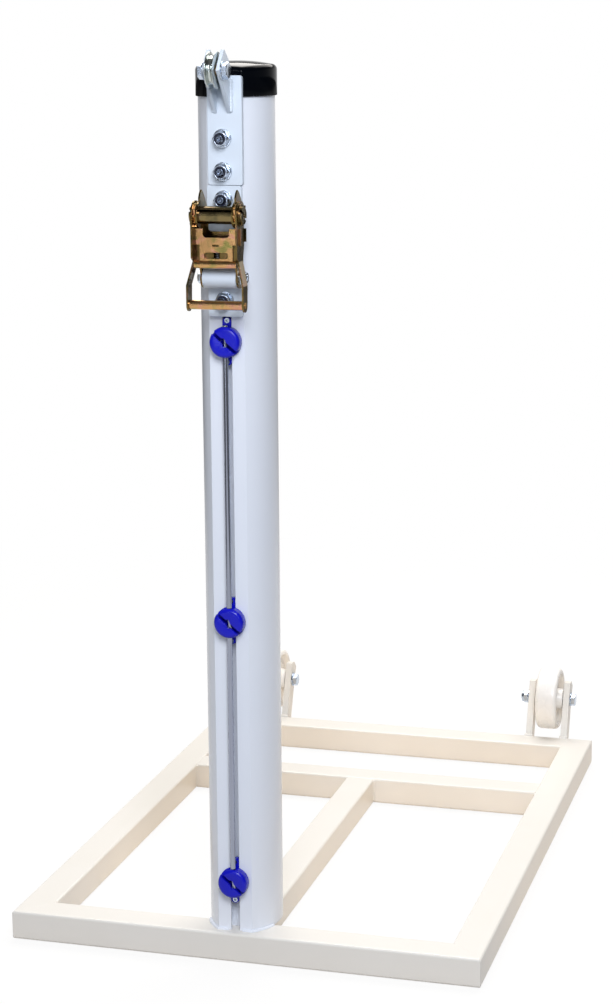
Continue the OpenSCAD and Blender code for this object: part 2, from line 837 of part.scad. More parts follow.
module lock_spring() {
    color(zinc) on_ratchet() coil(0, lock_web_y + spring_d / 2, lock_tab_z - spring_len + 0.1,
        spring_len - 0.2);
}

module release_spring() {
    color(zinc) on_ratchet() coil(0, release_web_y + spring_d / 2,
        release_tab_z - spring_len + 0.1, spring_len - 0.2);
}

module anchor_bolt() {
    length = 2 * side_out + anchor_washer_t + anchor_nut_h + 0.6;
    color(zinc) on_ratchet() rightward(-side_out, anchor_y, anchor_z)
        hex_bolt(anchor_bolt_d, length, anchor_af, anchor_head_h);
}

module anchor_nut() {
    color(zinc) on_ratchet() rightward(side_out + anchor_washer_t, anchor_y, anchor_z)
        lock_nut(anchor_bolt_d, anchor_af, anchor_nut_h, anchor_nut_h * 0.72);
}

module anchor_washer() {
    color(zinc) on_ratchet() rightward(side_out, anchor_y, anchor_z)
        ring(16, anchor_bolt_d + fit_gap, anchor_washer_t);
}

// Handle: two arms that widen out below the drum, joined by a web
module arm_outline() {
    translate([drum_y, drum_z]) circle(arm_r);
    translate([grip_y, grip_z]) circle(grip_end_r);
    polygon([[drum_y - arm_r, drum_z], [drum_y - arm_r, flare_from + 4],
        [drum_y - arm_r + 6.5, flare_from], [grip_y - grip_end_r, flare_to],
        [grip_y - grip_end_r, grip_z], [grip_y + grip_end_r, grip_z],
        [grip_y + grip_end_r + 1, flare_to], [drum_y + 6, flare_from],
        [drum_y + 11, drum_z - 34], [drum_y + 11, drum_z - 11]]);
}

module arm_profile(s) {
    far_z = drum_z + arm_r + 5;
    low_z = grip_z - 15;
    polygon([[s * arm_in, far_z], [s * arm_out, far_z], [s * arm_out, flare_from],
        [s * (arm_out + arm_flare), flare_to], [s * (arm_out + arm_flare), low_z],
        [s * (arm_in + arm_flare), low_z], [s * (arm_in + arm_flare), flare_to],
        [s * arm_in, flare_from]]);
}

module ratchet_handle() {
    web_low = release_tab_z - spring_len - 2;
    web_high = release_tab_z + tab_h + 2.5;
    color(gold) on_ratchet() difference() {
        union() {
            for (s = [-1, 1]) intersection() {
                translate([0, far / 2, 0]) rotate([90, 0, 0]) linear_extrude(far)
                    arm_profile(s);
                side_solid(-far / 2, far / 2) arm_outline();
            }
            translate([-arm_in - 1, release_web_y, web_low])
                cube([2 * arm_in + 2, web_t, web_high - web_low]);
        }
        rightward(-far / 2, drum_y, drum_z) cylinder(d = drum_d + 2 * fit_gap, h = far);
        rightward(-far / 2, grip_y, grip_z) cylinder(d = stud_d + 0.1, h = far);
        slider_slots(release_y, release_top, release_tongue, release_travel);
        spring_window(release_web_y, release_tab_z);
    }
}

// Grip: a thick bar between the arms with a stud at each end through its arm
module handle_grip() {
    reach = arm_in + arm_flare;
    color(gold) on_ratchet() {
        rightward(-reach, grip_y, grip_z) cylinder(d = grip_d, h = 2 * reach);
        rightward(-reach - sheet_t - 0.8, grip_y, grip_z)
            cylinder(d = stud_d, h = 2 * (reach + sheet_t + 0.8));
    }
}

// Split drum: two half-round shafts with the strap slot between them
module half_round(r, x0, x1, slot) {
    intersection() {
        rightward(x0, 0, 0) cylinder(r = r, h = x1 - x0);
        translate([x0 - 1, -r - 1, slot / 2]) cube([x1 - x0 + 2, 2 * r + 2, r + 1]);
    }
}

// Turns a piece made about the X axis into place on the drum's axis
module on_drum() {
    translate([ratchet_shift, drum_y, drum_z]) rotate([-slot_angle, 0, 0]) children();
}

module drum_half_shafts() {
    color(zinc) on_drum() for (s = [0, 1]) mirror([0, 0, s]) difference() {
        half_round(drum_d / 2, -drum_end, drum_end, strap_slot);
        for (x = [-pin_x, pin_x]) translate([x, 0, 0]) cylinder(d = pin_d + 0.1, h = far);
    }
}

module gear_outline() {
    r = gear_d / 2;
    step = 360 / gear_teeth;
    polygon([for (i = [0:gear_teeth - 1], k = [0:2]) let (
        a = i * step + [0, step * 0.14, step * 0.9][k],
        d = [r, r, r - tooth_deep][k]) [d * cos(a), d * sin(a)]]);
}

module ratchet_gears() {
    color(gold) on_drum() for (s = [-1, 1]) difference() {
        rightward(min(s * gear_in, s * gear_out), 0, 0) linear_extrude(gear_t) gear_outline();
        for (m = [0, 1]) mirror([0, 0, m])
            half_round(drum_d / 2 + 0.02, -drum_end, drum_end, strap_slot - 0.04);
    }
}

module drum_washers() {
    mid = arm_out + seat_gap + drum_washer_t / 2;
    color(zinc) on_ratchet() for (s = [-1, 1])
        rightward(s * mid - drum_washer_t / 2, drum_y, drum_z)
            ring(drum_d + 6, drum_d + 0.1, drum_washer_t);
}

module drum_pins() {
    color(zinc) on_drum() for (x = [-pin_x, pin_x])
        translate([x, 0, -drum_d / 2 - 2]) cylinder(d = pin_d, h = drum_d + 4);
}

// Slides that sit in the groove and carry the clips, with a screw at each end
module clip_slide(z) {
    difference() {
        union() {
            forward(lip_y + 0.2, z - slide_len / 2) linear_extrude(slide_proud + groove_lip + 0.2)
                round_rect(slide_neck_w, slide_len, slide_neck_w * 0.48);
            forward(lip_y + 0.1 + slide_foot_t, z - slide_len / 2) linear_extrude(slide_foot_t)
                round_rect(slide_foot_w, slide_len, slide_foot_w * 0.4);
        }
        forward(groove_y, z) cylinder(d = spigot_d + 2 * fit_gap, h = far / 4);
        forward(groove_y, z)
            cylinder(d = spigot_collar + 1, h = spigot_end + collar_t + seat_gap + groove_y);
        for (s = [-1, 1]) forward(groove_y, z + s * screw_out)
            cylinder(d = screw_d + 0.1, h = far / 4);
    }
}

module clip_slides() {
    color(blue) for (z = clip_zs) clip_slide(z);
}

module clip_screws() {
    length = groove_y - face_y;
    color(zinc) for (z = clip_zs, s = [-1, 1]) forward(groove_y - 0.1, z + s * screw_out)
        difference() {
            cylinder(d = screw_d, h = length);
            translate([0, 0, length - 2.5]) hex(3, 3);
        }
}

// Clip: a disc with a fan-shaped channel for the rod behind two front hooks. The channel lets
// the clip turn about the rod, and the rod snaps out of the front slot when that is upright.
module channel_cut(w) {
    translate([-w / 2, -far / 2]) square([w, far]);
}

module fan_cut() {
    r = clip_d;
    channel_cut(channel_w);
    rotate(clip_turn) channel_cut(channel_w);
    for (m = [0, 180]) rotate(m) polygon([[0, 0], [0, r],
        [r * cos(90 + clip_turn / 2) * 1.1, r * sin(90 + clip_turn / 2) * 1.1],
        [r * cos(90 + clip_turn), r * sin(90 + clip_turn)]]);
}

// Front slot: a slanted mouth narrower than the rod, which snaps through it, and an upright eye
module slot_cut() {
    rotate(clip_turn) channel_cut(clip_mouth);
    rotate(clip_turn * 0.45) translate([0, -clip_eye_h / 2])
        round_rect(clip_eye_w, clip_eye_h, clip_eye_w * 0.49);
}

// Half of a clip's section, with its front edge rounded
module clip_profile() {
    r = 4.5;
    h = clip_y - clip_front;
    square([clip_d / 2 - r, h]);
    square([clip_d / 2, h - r]);
    translate([clip_d / 2 - r, h - r]) circle(r);
}

module clip(z) {
    color(blue) forward(0, z) difference() {
        union() {
            translate([0, 0, -clip_y]) rotate_extrude($fn = 96) clip_profile();
            translate([0, 0, spigot_end]) cylinder(d = spigot_d, h = clip_back - clip_y - spigot_end);
            translate([0, 0, spigot_end]) cylinder(d = spigot_collar, h = collar_t);
        }
        translate([0, 0, clip_back - clip_y]) linear_extrude(channel_w) fan_cut();
        translate([0, 0, -hook_y - 1]) linear_extrude(far) slot_cut();
    }
}

module top_clip() {
    clip(top_clip_z);
}

module middle_clip() {
    clip(middle_clip_z);
}

module bottom_clip() {
    clip(bottom_clip_z);
}

module lacing_rod() {
    color(zinc) translate([0, rod_y, rod_bottom]) cylinder(d = rod_d, h = rod_top - rod_bottom);
}

front_rail();
rear_rail();
left_rail();
right_rail();
cross_rail();
middle_rail();
wheel_ears();
left_wheel();
right_wheel();
wheel_sleeves();
wheel_bolts();
wheel_nuts();
wheel_washers();
post();
end_cap();
pulley_bracket();
pulley_wheel();
pulley_sleeve();
pulley_bolt();
pulley_nut();
pulley_washers();
clamp_bolts();
clamp_nuts();
clamp_washers();
nut_inserts();
ratchet_plate();
ratchet_frame();
anchor_bolt();
anchor_nut();
anchor_washer();
ratchet_handle();
handle_grip();
release_slider();
release_spring();
lock_slider();
lock_spring();
drum_half_shafts();
ratchet_gears();
drum_washers();
drum_pins();
clip_slides();
clip_screws();
top_clip();
middle_clip();
bottom_clip();
lacing_rod();
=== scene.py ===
# %% [markdown]
# # A tennis net post on its wheeled floor frame
# The CAD model gives every piece its place and its size. This script dresses it: it sets up
# a camera and a plain studio, gives each surface the finish of the real one, and puts finer
# shapes where the CAD solid is too plain. All lengths in the CAD are millimetres, and
# Blender works in metres, so one factor turns the first into the second.

import json
import math

import bmesh
import bpy
import numpy as np
from mathutils import Matrix, Vector


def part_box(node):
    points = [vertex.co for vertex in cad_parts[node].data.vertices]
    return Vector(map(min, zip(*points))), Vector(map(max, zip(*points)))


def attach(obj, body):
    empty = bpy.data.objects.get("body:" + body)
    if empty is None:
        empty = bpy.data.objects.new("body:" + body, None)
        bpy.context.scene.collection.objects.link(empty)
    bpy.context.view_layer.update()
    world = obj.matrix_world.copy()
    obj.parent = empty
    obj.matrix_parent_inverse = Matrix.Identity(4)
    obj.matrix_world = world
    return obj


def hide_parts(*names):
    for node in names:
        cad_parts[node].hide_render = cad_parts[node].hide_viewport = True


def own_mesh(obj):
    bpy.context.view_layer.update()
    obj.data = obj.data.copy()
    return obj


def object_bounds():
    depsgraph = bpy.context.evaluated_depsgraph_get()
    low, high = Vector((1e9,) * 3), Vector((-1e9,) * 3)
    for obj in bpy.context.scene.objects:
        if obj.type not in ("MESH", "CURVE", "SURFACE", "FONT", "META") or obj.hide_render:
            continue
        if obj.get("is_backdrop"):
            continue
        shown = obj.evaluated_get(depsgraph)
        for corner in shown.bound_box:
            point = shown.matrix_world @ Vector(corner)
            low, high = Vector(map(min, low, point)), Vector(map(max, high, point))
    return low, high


MM = 0.001
MERGE = 0.002 * MM  # points closer than this are one point
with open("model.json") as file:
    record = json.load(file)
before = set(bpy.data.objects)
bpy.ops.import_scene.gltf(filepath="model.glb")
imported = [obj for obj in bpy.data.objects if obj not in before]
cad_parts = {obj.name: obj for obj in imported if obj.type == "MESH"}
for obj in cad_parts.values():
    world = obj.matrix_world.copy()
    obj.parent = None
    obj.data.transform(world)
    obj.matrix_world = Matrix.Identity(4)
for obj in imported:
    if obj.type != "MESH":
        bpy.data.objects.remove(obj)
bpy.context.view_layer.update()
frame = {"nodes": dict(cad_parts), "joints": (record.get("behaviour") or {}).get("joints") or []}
nodes = frame["nodes"]

# %% [markdown]
# ## Camera
# The photograph was taken from the front and a little to the right, at about the height of
# the post's top, looking down by 12 degrees. The viewing direction is built from those two
# angles and a slight roll, which gives the three axes of the camera's own frame.

# %% Camera at the photograph's place
CAMERA_AT = Vector((0.7864, -2.51075, 1.11096))
TURN_LEFT, LOOK_DOWN, ROLL = 0.2746, 0.20897, -0.0074
LENS = 81.79  # millimetres on a 36 mm frame, along the picture's long side

forward = Vector((
    -math.sin(TURN_LEFT) * math.cos(LOOK_DOWN),
    math.cos(TURN_LEFT) * math.cos(LOOK_DOWN),
    -math.sin(LOOK_DOWN),
))
level = forward.cross(Vector((0, 0, 1))).normalized()
upright = level.cross(forward)
right = math.cos(ROLL) * level + math.sin(ROLL) * upright
up = math.cos(ROLL) * upright - math.sin(ROLL) * level

camera_data = bpy.data.cameras.new("camera")
camera_data.lens = LENS
camera_data.sensor_width = 36
camera_data.clip_start = 0.05
camera_data.clip_end = 50
camera = bpy.data.objects.new("camera", camera_data)
axes = Matrix((right, up, -forward)).transposed()
camera.matrix_world = Matrix.Translation(CAMERA_AT) @ axes.to_4x4()
bpy.context.scene.collection.objects.link(camera)
bpy.context.scene.camera = camera
print("camera", tuple(round(v, 3) for v in camera.location))

# %% [markdown]
# ## Colours and shader nodes
# A colour given here is an sRGB value, but a shader works with linear light, so one
# function converts. A second one adds a node, sets it up and joins it to others, which keeps
# the materials below short enough to read. What most finishes have in common, a fine grain,
# edges that look a little round and a roughness that isn't the same everywhere, is worked
# out in one place.


# %% Helpers for materials
def linear(code):
    """Linear colour of an sRGB hex code: c / 12.92 near black, ((c + 0.055) / 1.055) ** 2.4 above."""
    parts = [int(code[i:i + 2], 16) / 255 for i in (1, 3, 5)]
    return [c / 12.92 if c <= 0.04045 else ((c + 0.055) / 1.055) ** 2.4 for c in parts] + [1.0]


def add(tree, kind, inputs=None, stops=None, **settings):
    """Adds a shader node. Inputs are values or other nodes' sockets, stops are a ramp's colours."""
    node = tree.nodes.new("ShaderNode" + kind)
    for name, value in settings.items():
        setattr(node, name, value)
    for key, value in (inputs or {}).items():
        if isinstance(value, bpy.types.NodeSocket):
            tree.links.new(value, node.inputs[key])
        else:
            node.inputs[key].default_value = value
    for i, (position, code) in enumerate(stops or []):
        ramp = node.color_ramp.elements
        stop = ramp[i] if i < len(ramp) else ramp.new(position)
        stop.position, stop.color = position, linear(code)
    return node


def per_mm(size):
    """Scale of a pattern whose features are that many millimetres wide, on metre coordinates."""
    return 1 / (size * MM)


def material(name):
    """An empty material: its tree, its Principled shader, and the piece's own coordinates."""
    made = bpy.data.materials.new(name)
    made.use_nodes = True
    tree = made.node_tree
    tree.nodes.clear()
    shader = add(tree, "BsdfPrincipled")
    add(tree, "OutputMaterial", {"Surface": shader.outputs[0]})
    place = add(tree, "TexCoord").outputs["Object"]
    return made, tree, shader, place


def grained(tree, shader, place, colour, pattern, rough, grain, height, edge, strength=0.3, detail=2.0):
    """Joins the colour to the shader, lets the roughness go from rough[0] to rough[1] with the
    pattern, and gives the surface a grain `grain` mm wide and `height` mm high, with every edge
    seen as rounded by `edge` mm."""
    fine = add(tree, "TexNoise", {"Vector": place, "Scale": per_mm(grain), "Detail": detail})
    soft = add(tree, "Bevel", {"Radius": edge * MM}, samples=4)
    bump = add(tree, "Bump", {
        "Height": fine.outputs["Fac"], "Normal": soft.outputs[0], "Strength": strength,
        "Distance": height * MM})
    rub = add(tree, "MapRange", {"Value": pattern, "To Min": rough[0], "To Max": rough[1]})
    tree.links.new(colour, shader.inputs["Base Color"])
    tree.links.new(rub.outputs[0], shader.inputs["Roughness"])
    tree.links.new(bump.outputs[0], shader.inputs["Normal"])


print("white is", [round(v, 3) for v in linear("#FFFFFF")])

# %% [markdown]
# ## Studio
# The floor and the surroundings are white to the camera, as on a seamless paper roll, and
# the floor still takes a soft shadow. Towards the horizon the paper shows as pure white, so
# no line is seen where it ends. A big soft lamp overhead, a little behind the post, gives the
# pale tops, another beside the camera fills the front, and two narrow ones draw the long
# highlights on the post and the cap. The light that the paper throws back is dim and cool in
# front of the post, and warm between the cream rails. Polished metal needs something dark to
# mirror, so reflections see white paper behind the object, and a dimmer room behind the
# camera, to both sides and above.

# %% Floor
FLOOR_HALF, FLOOR_Z = 12.0, -0.0004  # metres; the floor lies 0.4 mm under the frame
floor_mesh = bpy.data.meshes.new("floor")
floor_corners = [(x * FLOOR_HALF, y * FLOOR_HALF, FLOOR_Z) for x, y in ((-1, -1), (1, -1), (1, 1), (-1, 1))]
floor_mesh.from_pydata(floor_corners, [], [(0, 1, 2, 3)])
floor = bpy.data.objects.new("floor", floor_mesh)
bpy.context.scene.collection.objects.link(floor)
floor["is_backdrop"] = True
print("floor", 2 * FLOOR_HALF, "m wide")


# %% Paper of the floor
def ray_kinds(tree):
    """What a ray is, and 1 where it was mirrored or let through by a surface, 0 elsewhere."""
    rays = add(tree, "LightPath").outputs
    mirrored = add(tree, "Math", {
        0: rays["Is Glossy Ray"], 1: rays["Is Transmission Ray"]}, operation="MAXIMUM")
    return rays, mirrored.outputs[0]


paper, tree, shader, place = material("seamless_paper")
shader.inputs["Roughness"].default_value = 0.9
rays, mirrored = ray_kinds(tree)
spot = add(tree, "SeparateXYZ", {0: place}).outputs
across = add(tree, "Math", {0: spot["X"]}, operation="ABSOLUTE").outputs[0]
behind = add(tree, "MapRange", {"Value": spot["Y"], "From Min": -0.2, "From Max": 0.2})
beside = add(tree, "MapRange", {
    "Value": across, "From Min": 0.3, "From Max": 0.5, "To Min": 1.0, "To Max": 0.0})
within = add(tree, "Math", {0: behind.outputs[0], 1: beside.outputs[0]}, operation="MULTIPLY")
thrown_back = add(tree, "Mix", {  # dim and cool, but warm between the rails
    0: within.outputs[0], 6: linear("#71757C"), 7: linear("#E8D0AE")}, data_type="RGBA")
colour = add(tree, "Mix", {
    0: rays["Is Diffuse Ray"], 6: linear("#F6F3EF"), 7: thrown_back.outputs[2]}, data_type="RGBA")
tree.links.new(colour.outputs[2], shader.inputs["Base Color"])
far_off = add(tree, "VectorMath", {0: place}, operation="LENGTH")
whiter = add(tree, "MapRange", {
    "Value": far_off.outputs["Value"], "From Min": 0.5, "From Max": 2.2, "To Min": 0.86})
looked_at = add(tree, "Math", {0: rays["Is Camera Ray"], 1: mirrored}, operation="MAXIMUM")
seen = add(tree, "Math", {0: looked_at.outputs[0], 1: whiter.outputs[0]}, operation="MULTIPLY")
roll_side = add(tree, "MapRange", {  # mirrored, the paper roll is about 4 m wide
    "Value": across, "From Min": 1.4, "From Max": 2.3, "To Min": 1.0, "To Max": 0.2})
roll_end = add(tree, "MapRange", {  # and it ends behind the object
    "Value": spot["Y"], "From Min": 1.6, "From Max": 3.4, "To Min": 1.0, "To Max": 0.3})
roll = add(tree, "Math", {0: roll_side.outputs[0], 1: roll_end.outputs[0]}, operation="MULTIPLY")
shown = add(tree, "Mix", {0: rays["Is Camera Ray"], 2: roll.outputs[0], 3: 1.0})
glow = add(tree, "Emission", {"Color": linear("#FFFFFF"), "Strength": shown.outputs[0]})
blend = add(tree, "MixShader", {0: seen.outputs[0], 1: shader.outputs[0], 2: glow.outputs[0]})
tree.links.new(blend.outputs[0], tree.nodes["Material Output"].inputs["Surface"])
floor_mesh.materials.append(paper)
print("paper has", len(tree.nodes), "nodes")

# %% Surroundings
world = bpy.data.worlds.new("studio")
bpy.context.scene.world = world
world.use_nodes = True
tree = world.node_tree
tree.nodes.clear()
rays, mirrored = ray_kinds(tree)
direction = add(tree, "SeparateXYZ", {0: add(tree, "TexCoord").outputs["Generated"]}).outputs
sideways = add(tree, "Math", {0: direction["X"]}, operation="ABSOLUTE").outputs[0]
backdrop = 1.0
for value, start, end, low, high in (  # brighter behind the object, dimmer to the sides and above
        (direction["Y"], -0.75, 0.45, 0.38, 1.0), (sideways, 0.4, 0.85, 1.0, 0.4),
        (direction["Z"], 0.06, 0.3, 1.0, 0.25)):
    band = add(tree, "MapRange", {
        "Value": value, "From Min": start, "From Max": end, "To Min": low, "To Max": high})
    backdrop = add(tree, "Math", {0: backdrop, 1: band.outputs[0]}, operation="MULTIPLY").outputs[0]
fill = add(tree, "MapRange", {  # how bright the surroundings are as a light: more from the left
    "Value": direction["X"], "From Min": -0.9, "From Max": 0.9, "To Min": 0.42, "To Max": 0.18})
strength = add(tree, "Mix", {0: mirrored, 2: fill.outputs[0], 3: backdrop})
strength = add(tree, "Mix", {0: rays["Is Camera Ray"], 2: strength.outputs[0], 3: 1.0})
sky = add(tree, "Background", {"Color": linear("#FFFFFF"), "Strength": strength.outputs[0]})
add(tree, "OutputWorld", {"Surface": sky.outputs[0]})
print("surroundings have", len(tree.nodes), "nodes")


# %% Lamps
def lamp(name, at, aim, size, watts, code):
    """A rectangular soft lamp at one point, aimed at another, size in metres."""
    data = bpy.data.lights.new(name, "AREA")
    data.shape = "RECTANGLE"
    data.size, data.size_y = size
    data.energy = watts
    data.color = linear(code)[:3]
    made = bpy.data.objects.new(name, data)
    made.location = at
    made.rotation_euler = (Vector(aim) - Vector(at)).to_track_quat("-Z", "Y").to_euler()
    made.visible_camera = False
    bpy.context.scene.collection.objects.link(made)


lamp("overhead", (0.0, 1.5, 2.2), (0.0, 0.7, 0.0), (2.2, 1.8), 57, "#FFFBF6")
lamp("beside_camera", (0.8, -2.0, 2.15), (0.0, 0.0, 0.95), (1.2, 1.0), 58, "#F0F4FC")
lamp("right_strip", (1.3, -2.4, 1.5), (0.0, 0.0, 0.9), (0.3, 1.5), 8, "#DDEBFF")
lamp("left_strip", (-0.55, -2.5, 1.3), (0.0, 0.0, 0.8), (0.14, 1.7), 4, "#EAF1FF")
print("4 lamps")

# %% [markdown]
# ## Powder coat
# The post, its plates and the floor frame are steel under polyester powder coat, a plastic
# that is sprayed on as dust and baked. It flows out glossy but keeps a faint orange peel of
# about a millimetre, and a plastic's index of refraction of 1.5. The post is a cool white,
# its two plates are a little bluer and darker, and the frame is a cream white. The Bevel node
# rounds the look of sharp edges, where paint always draws back into a soft curve.


# %% Powder-coated steel
def powder_coat(name, code, shade, rough, peel=1.3):
    """Glossy paint: a slow drift between two whites, and an orange peel of that many millimetres."""
    made, tree, shader, place = material(name)
    drift = add(tree, "TexNoise", {"Vector": place, "Scale": per_mm(90), "Detail": 3.0}).outputs["Fac"]
    colour = add(tree, "Mix", {0: drift, 6: linear(code), 7: linear(shade)}, data_type="RGBA")
    grained(tree, shader, place, colour.outputs[2], drift, (rough - 0.01, rough + 0.02),
            grain=peel, height=0.05, edge=0.7, strength=0.25)
    shader.inputs["IOR"].default_value = 1.5
    return made


post_coat = powder_coat("powder_coat_cool_white", "#ECEFF6", "#E6EAF2", 0.26)
plate_coat = powder_coat("powder_coat_plate_white", "#DDE5EE", "#D3DDE8", 0.28)
frame_coat = powder_coat("powder_coat_cream", "#EDE9E2", "#E9E4DB", 0.3)
print("three powder coats")

# %% [markdown]
# ## Zinc plating
# The nuts, bolts and washers are steel under bright zinc, a thin bluish layer that is
# rolled and tumbled, so it is metallic with fine scratches and soft cloudy patches. The bolts
# in the locking nuts are drawn a darker grey, as painted shade on their cut ends, and the
# pulley is a warmer one. The ratchet has the same zinc under a yellow chromate, a film so thin
# that it shines gold, pink and green where its thickness changes. It is bright on the slider,
# the grip and the toothed wheels, and olive on the drum; on the handle's arms and the frame it
# is drawn darker, as painted shade.


# %% Zinc, clear and yellow
def bright_metal(name, code, shade, rough):
    """Metal with clouds of 3 mm and a tumbled grain of 0.35 mm, coarser than the real one, so that
    it shows in the render."""
    made, tree, shader, place = material(name)
    cloud = add(tree, "TexNoise", {"Vector": place, "Scale": per_mm(3), "Detail": 3.0}).outputs["Fac"]
    colour = add(tree, "Mix", {0: cloud, 6: linear(code), 7: linear(shade)}, data_type="RGBA")
    grained(tree, shader, place, colour.outputs[2], cloud, (rough - 0.08, rough + 0.1),
            grain=0.35, height=0.02, edge=0.3)
    shader.inputs["Metallic"].default_value = 1.0
    return made


def yellow_zinc(name, gold, olive, pink, rough):
    """Gold chromate over zinc, its film drifting through olive and pink over 14 mm, with a grain
    of 0.4 mm."""
    made, tree, shader, place = material(name)
    film = add(tree, "TexNoise", {
        "Vector": place, "Scale": per_mm(14), "Detail": 2.5, "Distortion": 0.8}).outputs["Fac"]
    colour = add(tree, "ValToRGB", {0: film}, stops=[
        (0.30, olive), (0.44, gold), (0.54, gold), (0.62, pink), (0.74, gold)])
    grained(tree, shader, place, colour.outputs[0], film, (rough - 0.08, rough + 0.1),
            grain=0.4, height=0.02, edge=0.35, detail=3.0)
    shader.inputs["Metallic"].default_value = 1.0
    return made


clear_zinc = bright_metal("bright_zinc_plate", "#CDD6E2", "#ABB7C8", 0.16)
# a darker copy of the bright zinc: painted shade on the bolts' cut ends in the locking nuts
shaded_bolt_zinc = bright_metal("zinc_plate_cut_end_painted_shade", "#8791A3", "#5F6B80", 0.14)
pulley_zinc = bright_metal("pulley_zinc_plate", "#CDD3D4", "#A8AEA8", 0.15)
gold_zinc = yellow_zinc("yellow_zinc_plate", "#C59A66", "#A09456", "#CC937A", 0.2)
# a darker copy of the yellow zinc: painted shade on the handle's arms and the frame
shaded_gold = yellow_zinc("yellow_zinc_painted_shade", "#766238", "#414122", "#86634B", 0.17)
olive_zinc = yellow_zinc("yellow_zinc_olive", "#7E6F4C", "#665D42", "#7F6B52", 0.13)
print("six zinc finishes")

# %% [markdown]
# ## Moulded plastics and small metals
# The clips are injection-moulded nylon in royal blue, the wheels cast nylon, the cap glossy
# black ABS and the rings in the locking nuts navy nylon, drawn near black as painted shade
# under the collar's lip. Mouldings are smooth with a very faint texture from the tool. The rod
# is cold-drawn steel, with fine lines along its length.
# The pulley's sleeve is sintered bronze, and the two springs are plain spring steel.


# %% Plastics, drawn steel, bronze and spring steel
def moulded(name, code, shade, rough, ior, gloss=0.5, grain=0.6, height=0.01):
    """Plastic with a slow colour drift of 25 mm, its gloss, and the tool's grain in millimetres."""
    made, tree, shader, place = material(name)
    drift = add(tree, "TexNoise", {"Vector": place, "Scale": per_mm(25), "Detail": 2.0}).outputs["Fac"]
    colour = add(tree, "Mix", {0: drift, 6: linear(code), 7: linear(shade)}, data_type="RGBA")
    grained(tree, shader, place, colour.outputs[2], drift, (rough - 0.04, rough + 0.06),
            grain=grain, height=height, edge=0.5)
    shader.inputs["IOR"].default_value = ior
    shader.inputs["Specular IOR Level"].default_value = gloss
    return made


def drawn_steel(name, code, shade, rough):
    """Steel with lines along Z: noise squeezed to 0.5 mm across and stretched to 60 mm along."""
    made, tree, shader, place = material(name)
    shape = add(tree, "Mapping", {"Vector": place, "Scale": (per_mm(0.5), per_mm(0.5), per_mm(60))})
    lines = add(tree, "TexNoise", {
        "Vector": shape.outputs[0], "Scale": 1.0, "Detail": 3.0}).outputs["Fac"]
    colour = add(tree, "Mix", {0: lines, 6: linear(code), 7: linear(shade)}, data_type="RGBA")
    bump = add(tree, "Bump", {"Height": lines, "Strength": 0.25, "Distance": 0.02 * MM})
    tree.links.new(colour.outputs[2], shader.inputs["Base Color"])
    tree.links.new(bump.outputs[0], shader.inputs["Normal"])
    shader.inputs["Metallic"].default_value = 1.0
    shader.inputs["Roughness"].default_value = rough
    return made


blue_nylon = moulded("moulded_nylon_royal_blue", "#1116C2", "#0D11B4", 0.2, 1.53, gloss=0.25)
wheel_nylon = moulded("cast_nylon_white", "#FBF8F4", "#F6F2EB", 0.26, 1.53, grain=1.5, height=0.03)
# the navy nylon drawn near black: painted shade in the ring under the collar's lip
ring_nylon_and_shade = moulded("nut_ring_nylon_and_painted_shade", "#141B34", "#10152A", 0.4, 1.53)
cap_plastic = moulded("moulded_abs_black", "#030509", "#05070C", 0.07, 1.46, gloss=0.06)
rod_steel = drawn_steel("cold_drawn_steel", "#AEB3C1", "#73788B", 0.11)
bronze = bright_metal("sintered_bronze", "#B08A55", "#8F6B3C", 0.4)
spring_wire = bright_metal("spring_steel", "#8C9096", "#6E7278", 0.35)
print("seven more finishes")

# %% [markdown]
# ## Finishes on the CAD pieces
# A piece whose CAD shape is already right only needs its finish. The table says which finish
# each node takes.

# %% Finish of each CAD node
FINISHES = {
    post_coat: ["post"],
    plate_coat: ["pulley_bracket", "ratchet_plate"],
    frame_coat: ["front_rail", "rear_rail", "left_rail", "right_rail", "cross_rail", "middle_rail",
                 "wheel_ears"],
    cap_plastic: ["end_cap"],
    clear_zinc: ["wheel_bolts", "wheel_nuts", "wheel_washers", "wheel_sleeves", "pulley_bolt", "pulley_nut",
                 "pulley_washers", "clamp_nuts", "clamp_washers", "clip_screws",
                 "anchor_bolt", "anchor_nut", "anchor_washer"],
    shaded_bolt_zinc: ["clamp_bolts"],
    pulley_zinc: ["pulley_wheel"],
    gold_zinc: ["release_slider", "handle_grip", "ratchet_gears"],
    shaded_gold: ["ratchet_handle", "ratchet_frame", "lock_slider", "drum_washers", "drum_pins"],
    olive_zinc: ["drum_half_shafts"],
    blue_nylon: ["top_clip", "middle_clip", "bottom_clip", "clip_slides"],
    wheel_nylon: ["left_wheel", "right_wheel"],
    ring_nylon_and_shade: ["nut_inserts"],
    rod_steel: ["lacing_rod"],
    bronze: ["pulley_sleeve"],
    spring_wire: ["release_spring", "lock_spring"],
}
for finish, names in FINISHES.items():
    for name in names:
        mesh = nodes[name].data
        mesh.materials.clear()
        mesh.materials.append(finish)
print(sum(len(names) for names in FINISHES.values()), "nodes have a finish")

# %% [markdown]
# ## Surfaces from numbers
# Turned and swept shapes are formulas: a point for each pair of two parameters. Working a
# whole grid of points out at once with numpy is quick, and the same few functions then make
# bolts, nuts, wheels, springs and weld beads. Rows and columns of a grid are joined by
# four-sided faces. Where a row shrinks to a point or meets another, the doubles are merged,
# so every shell is closed.


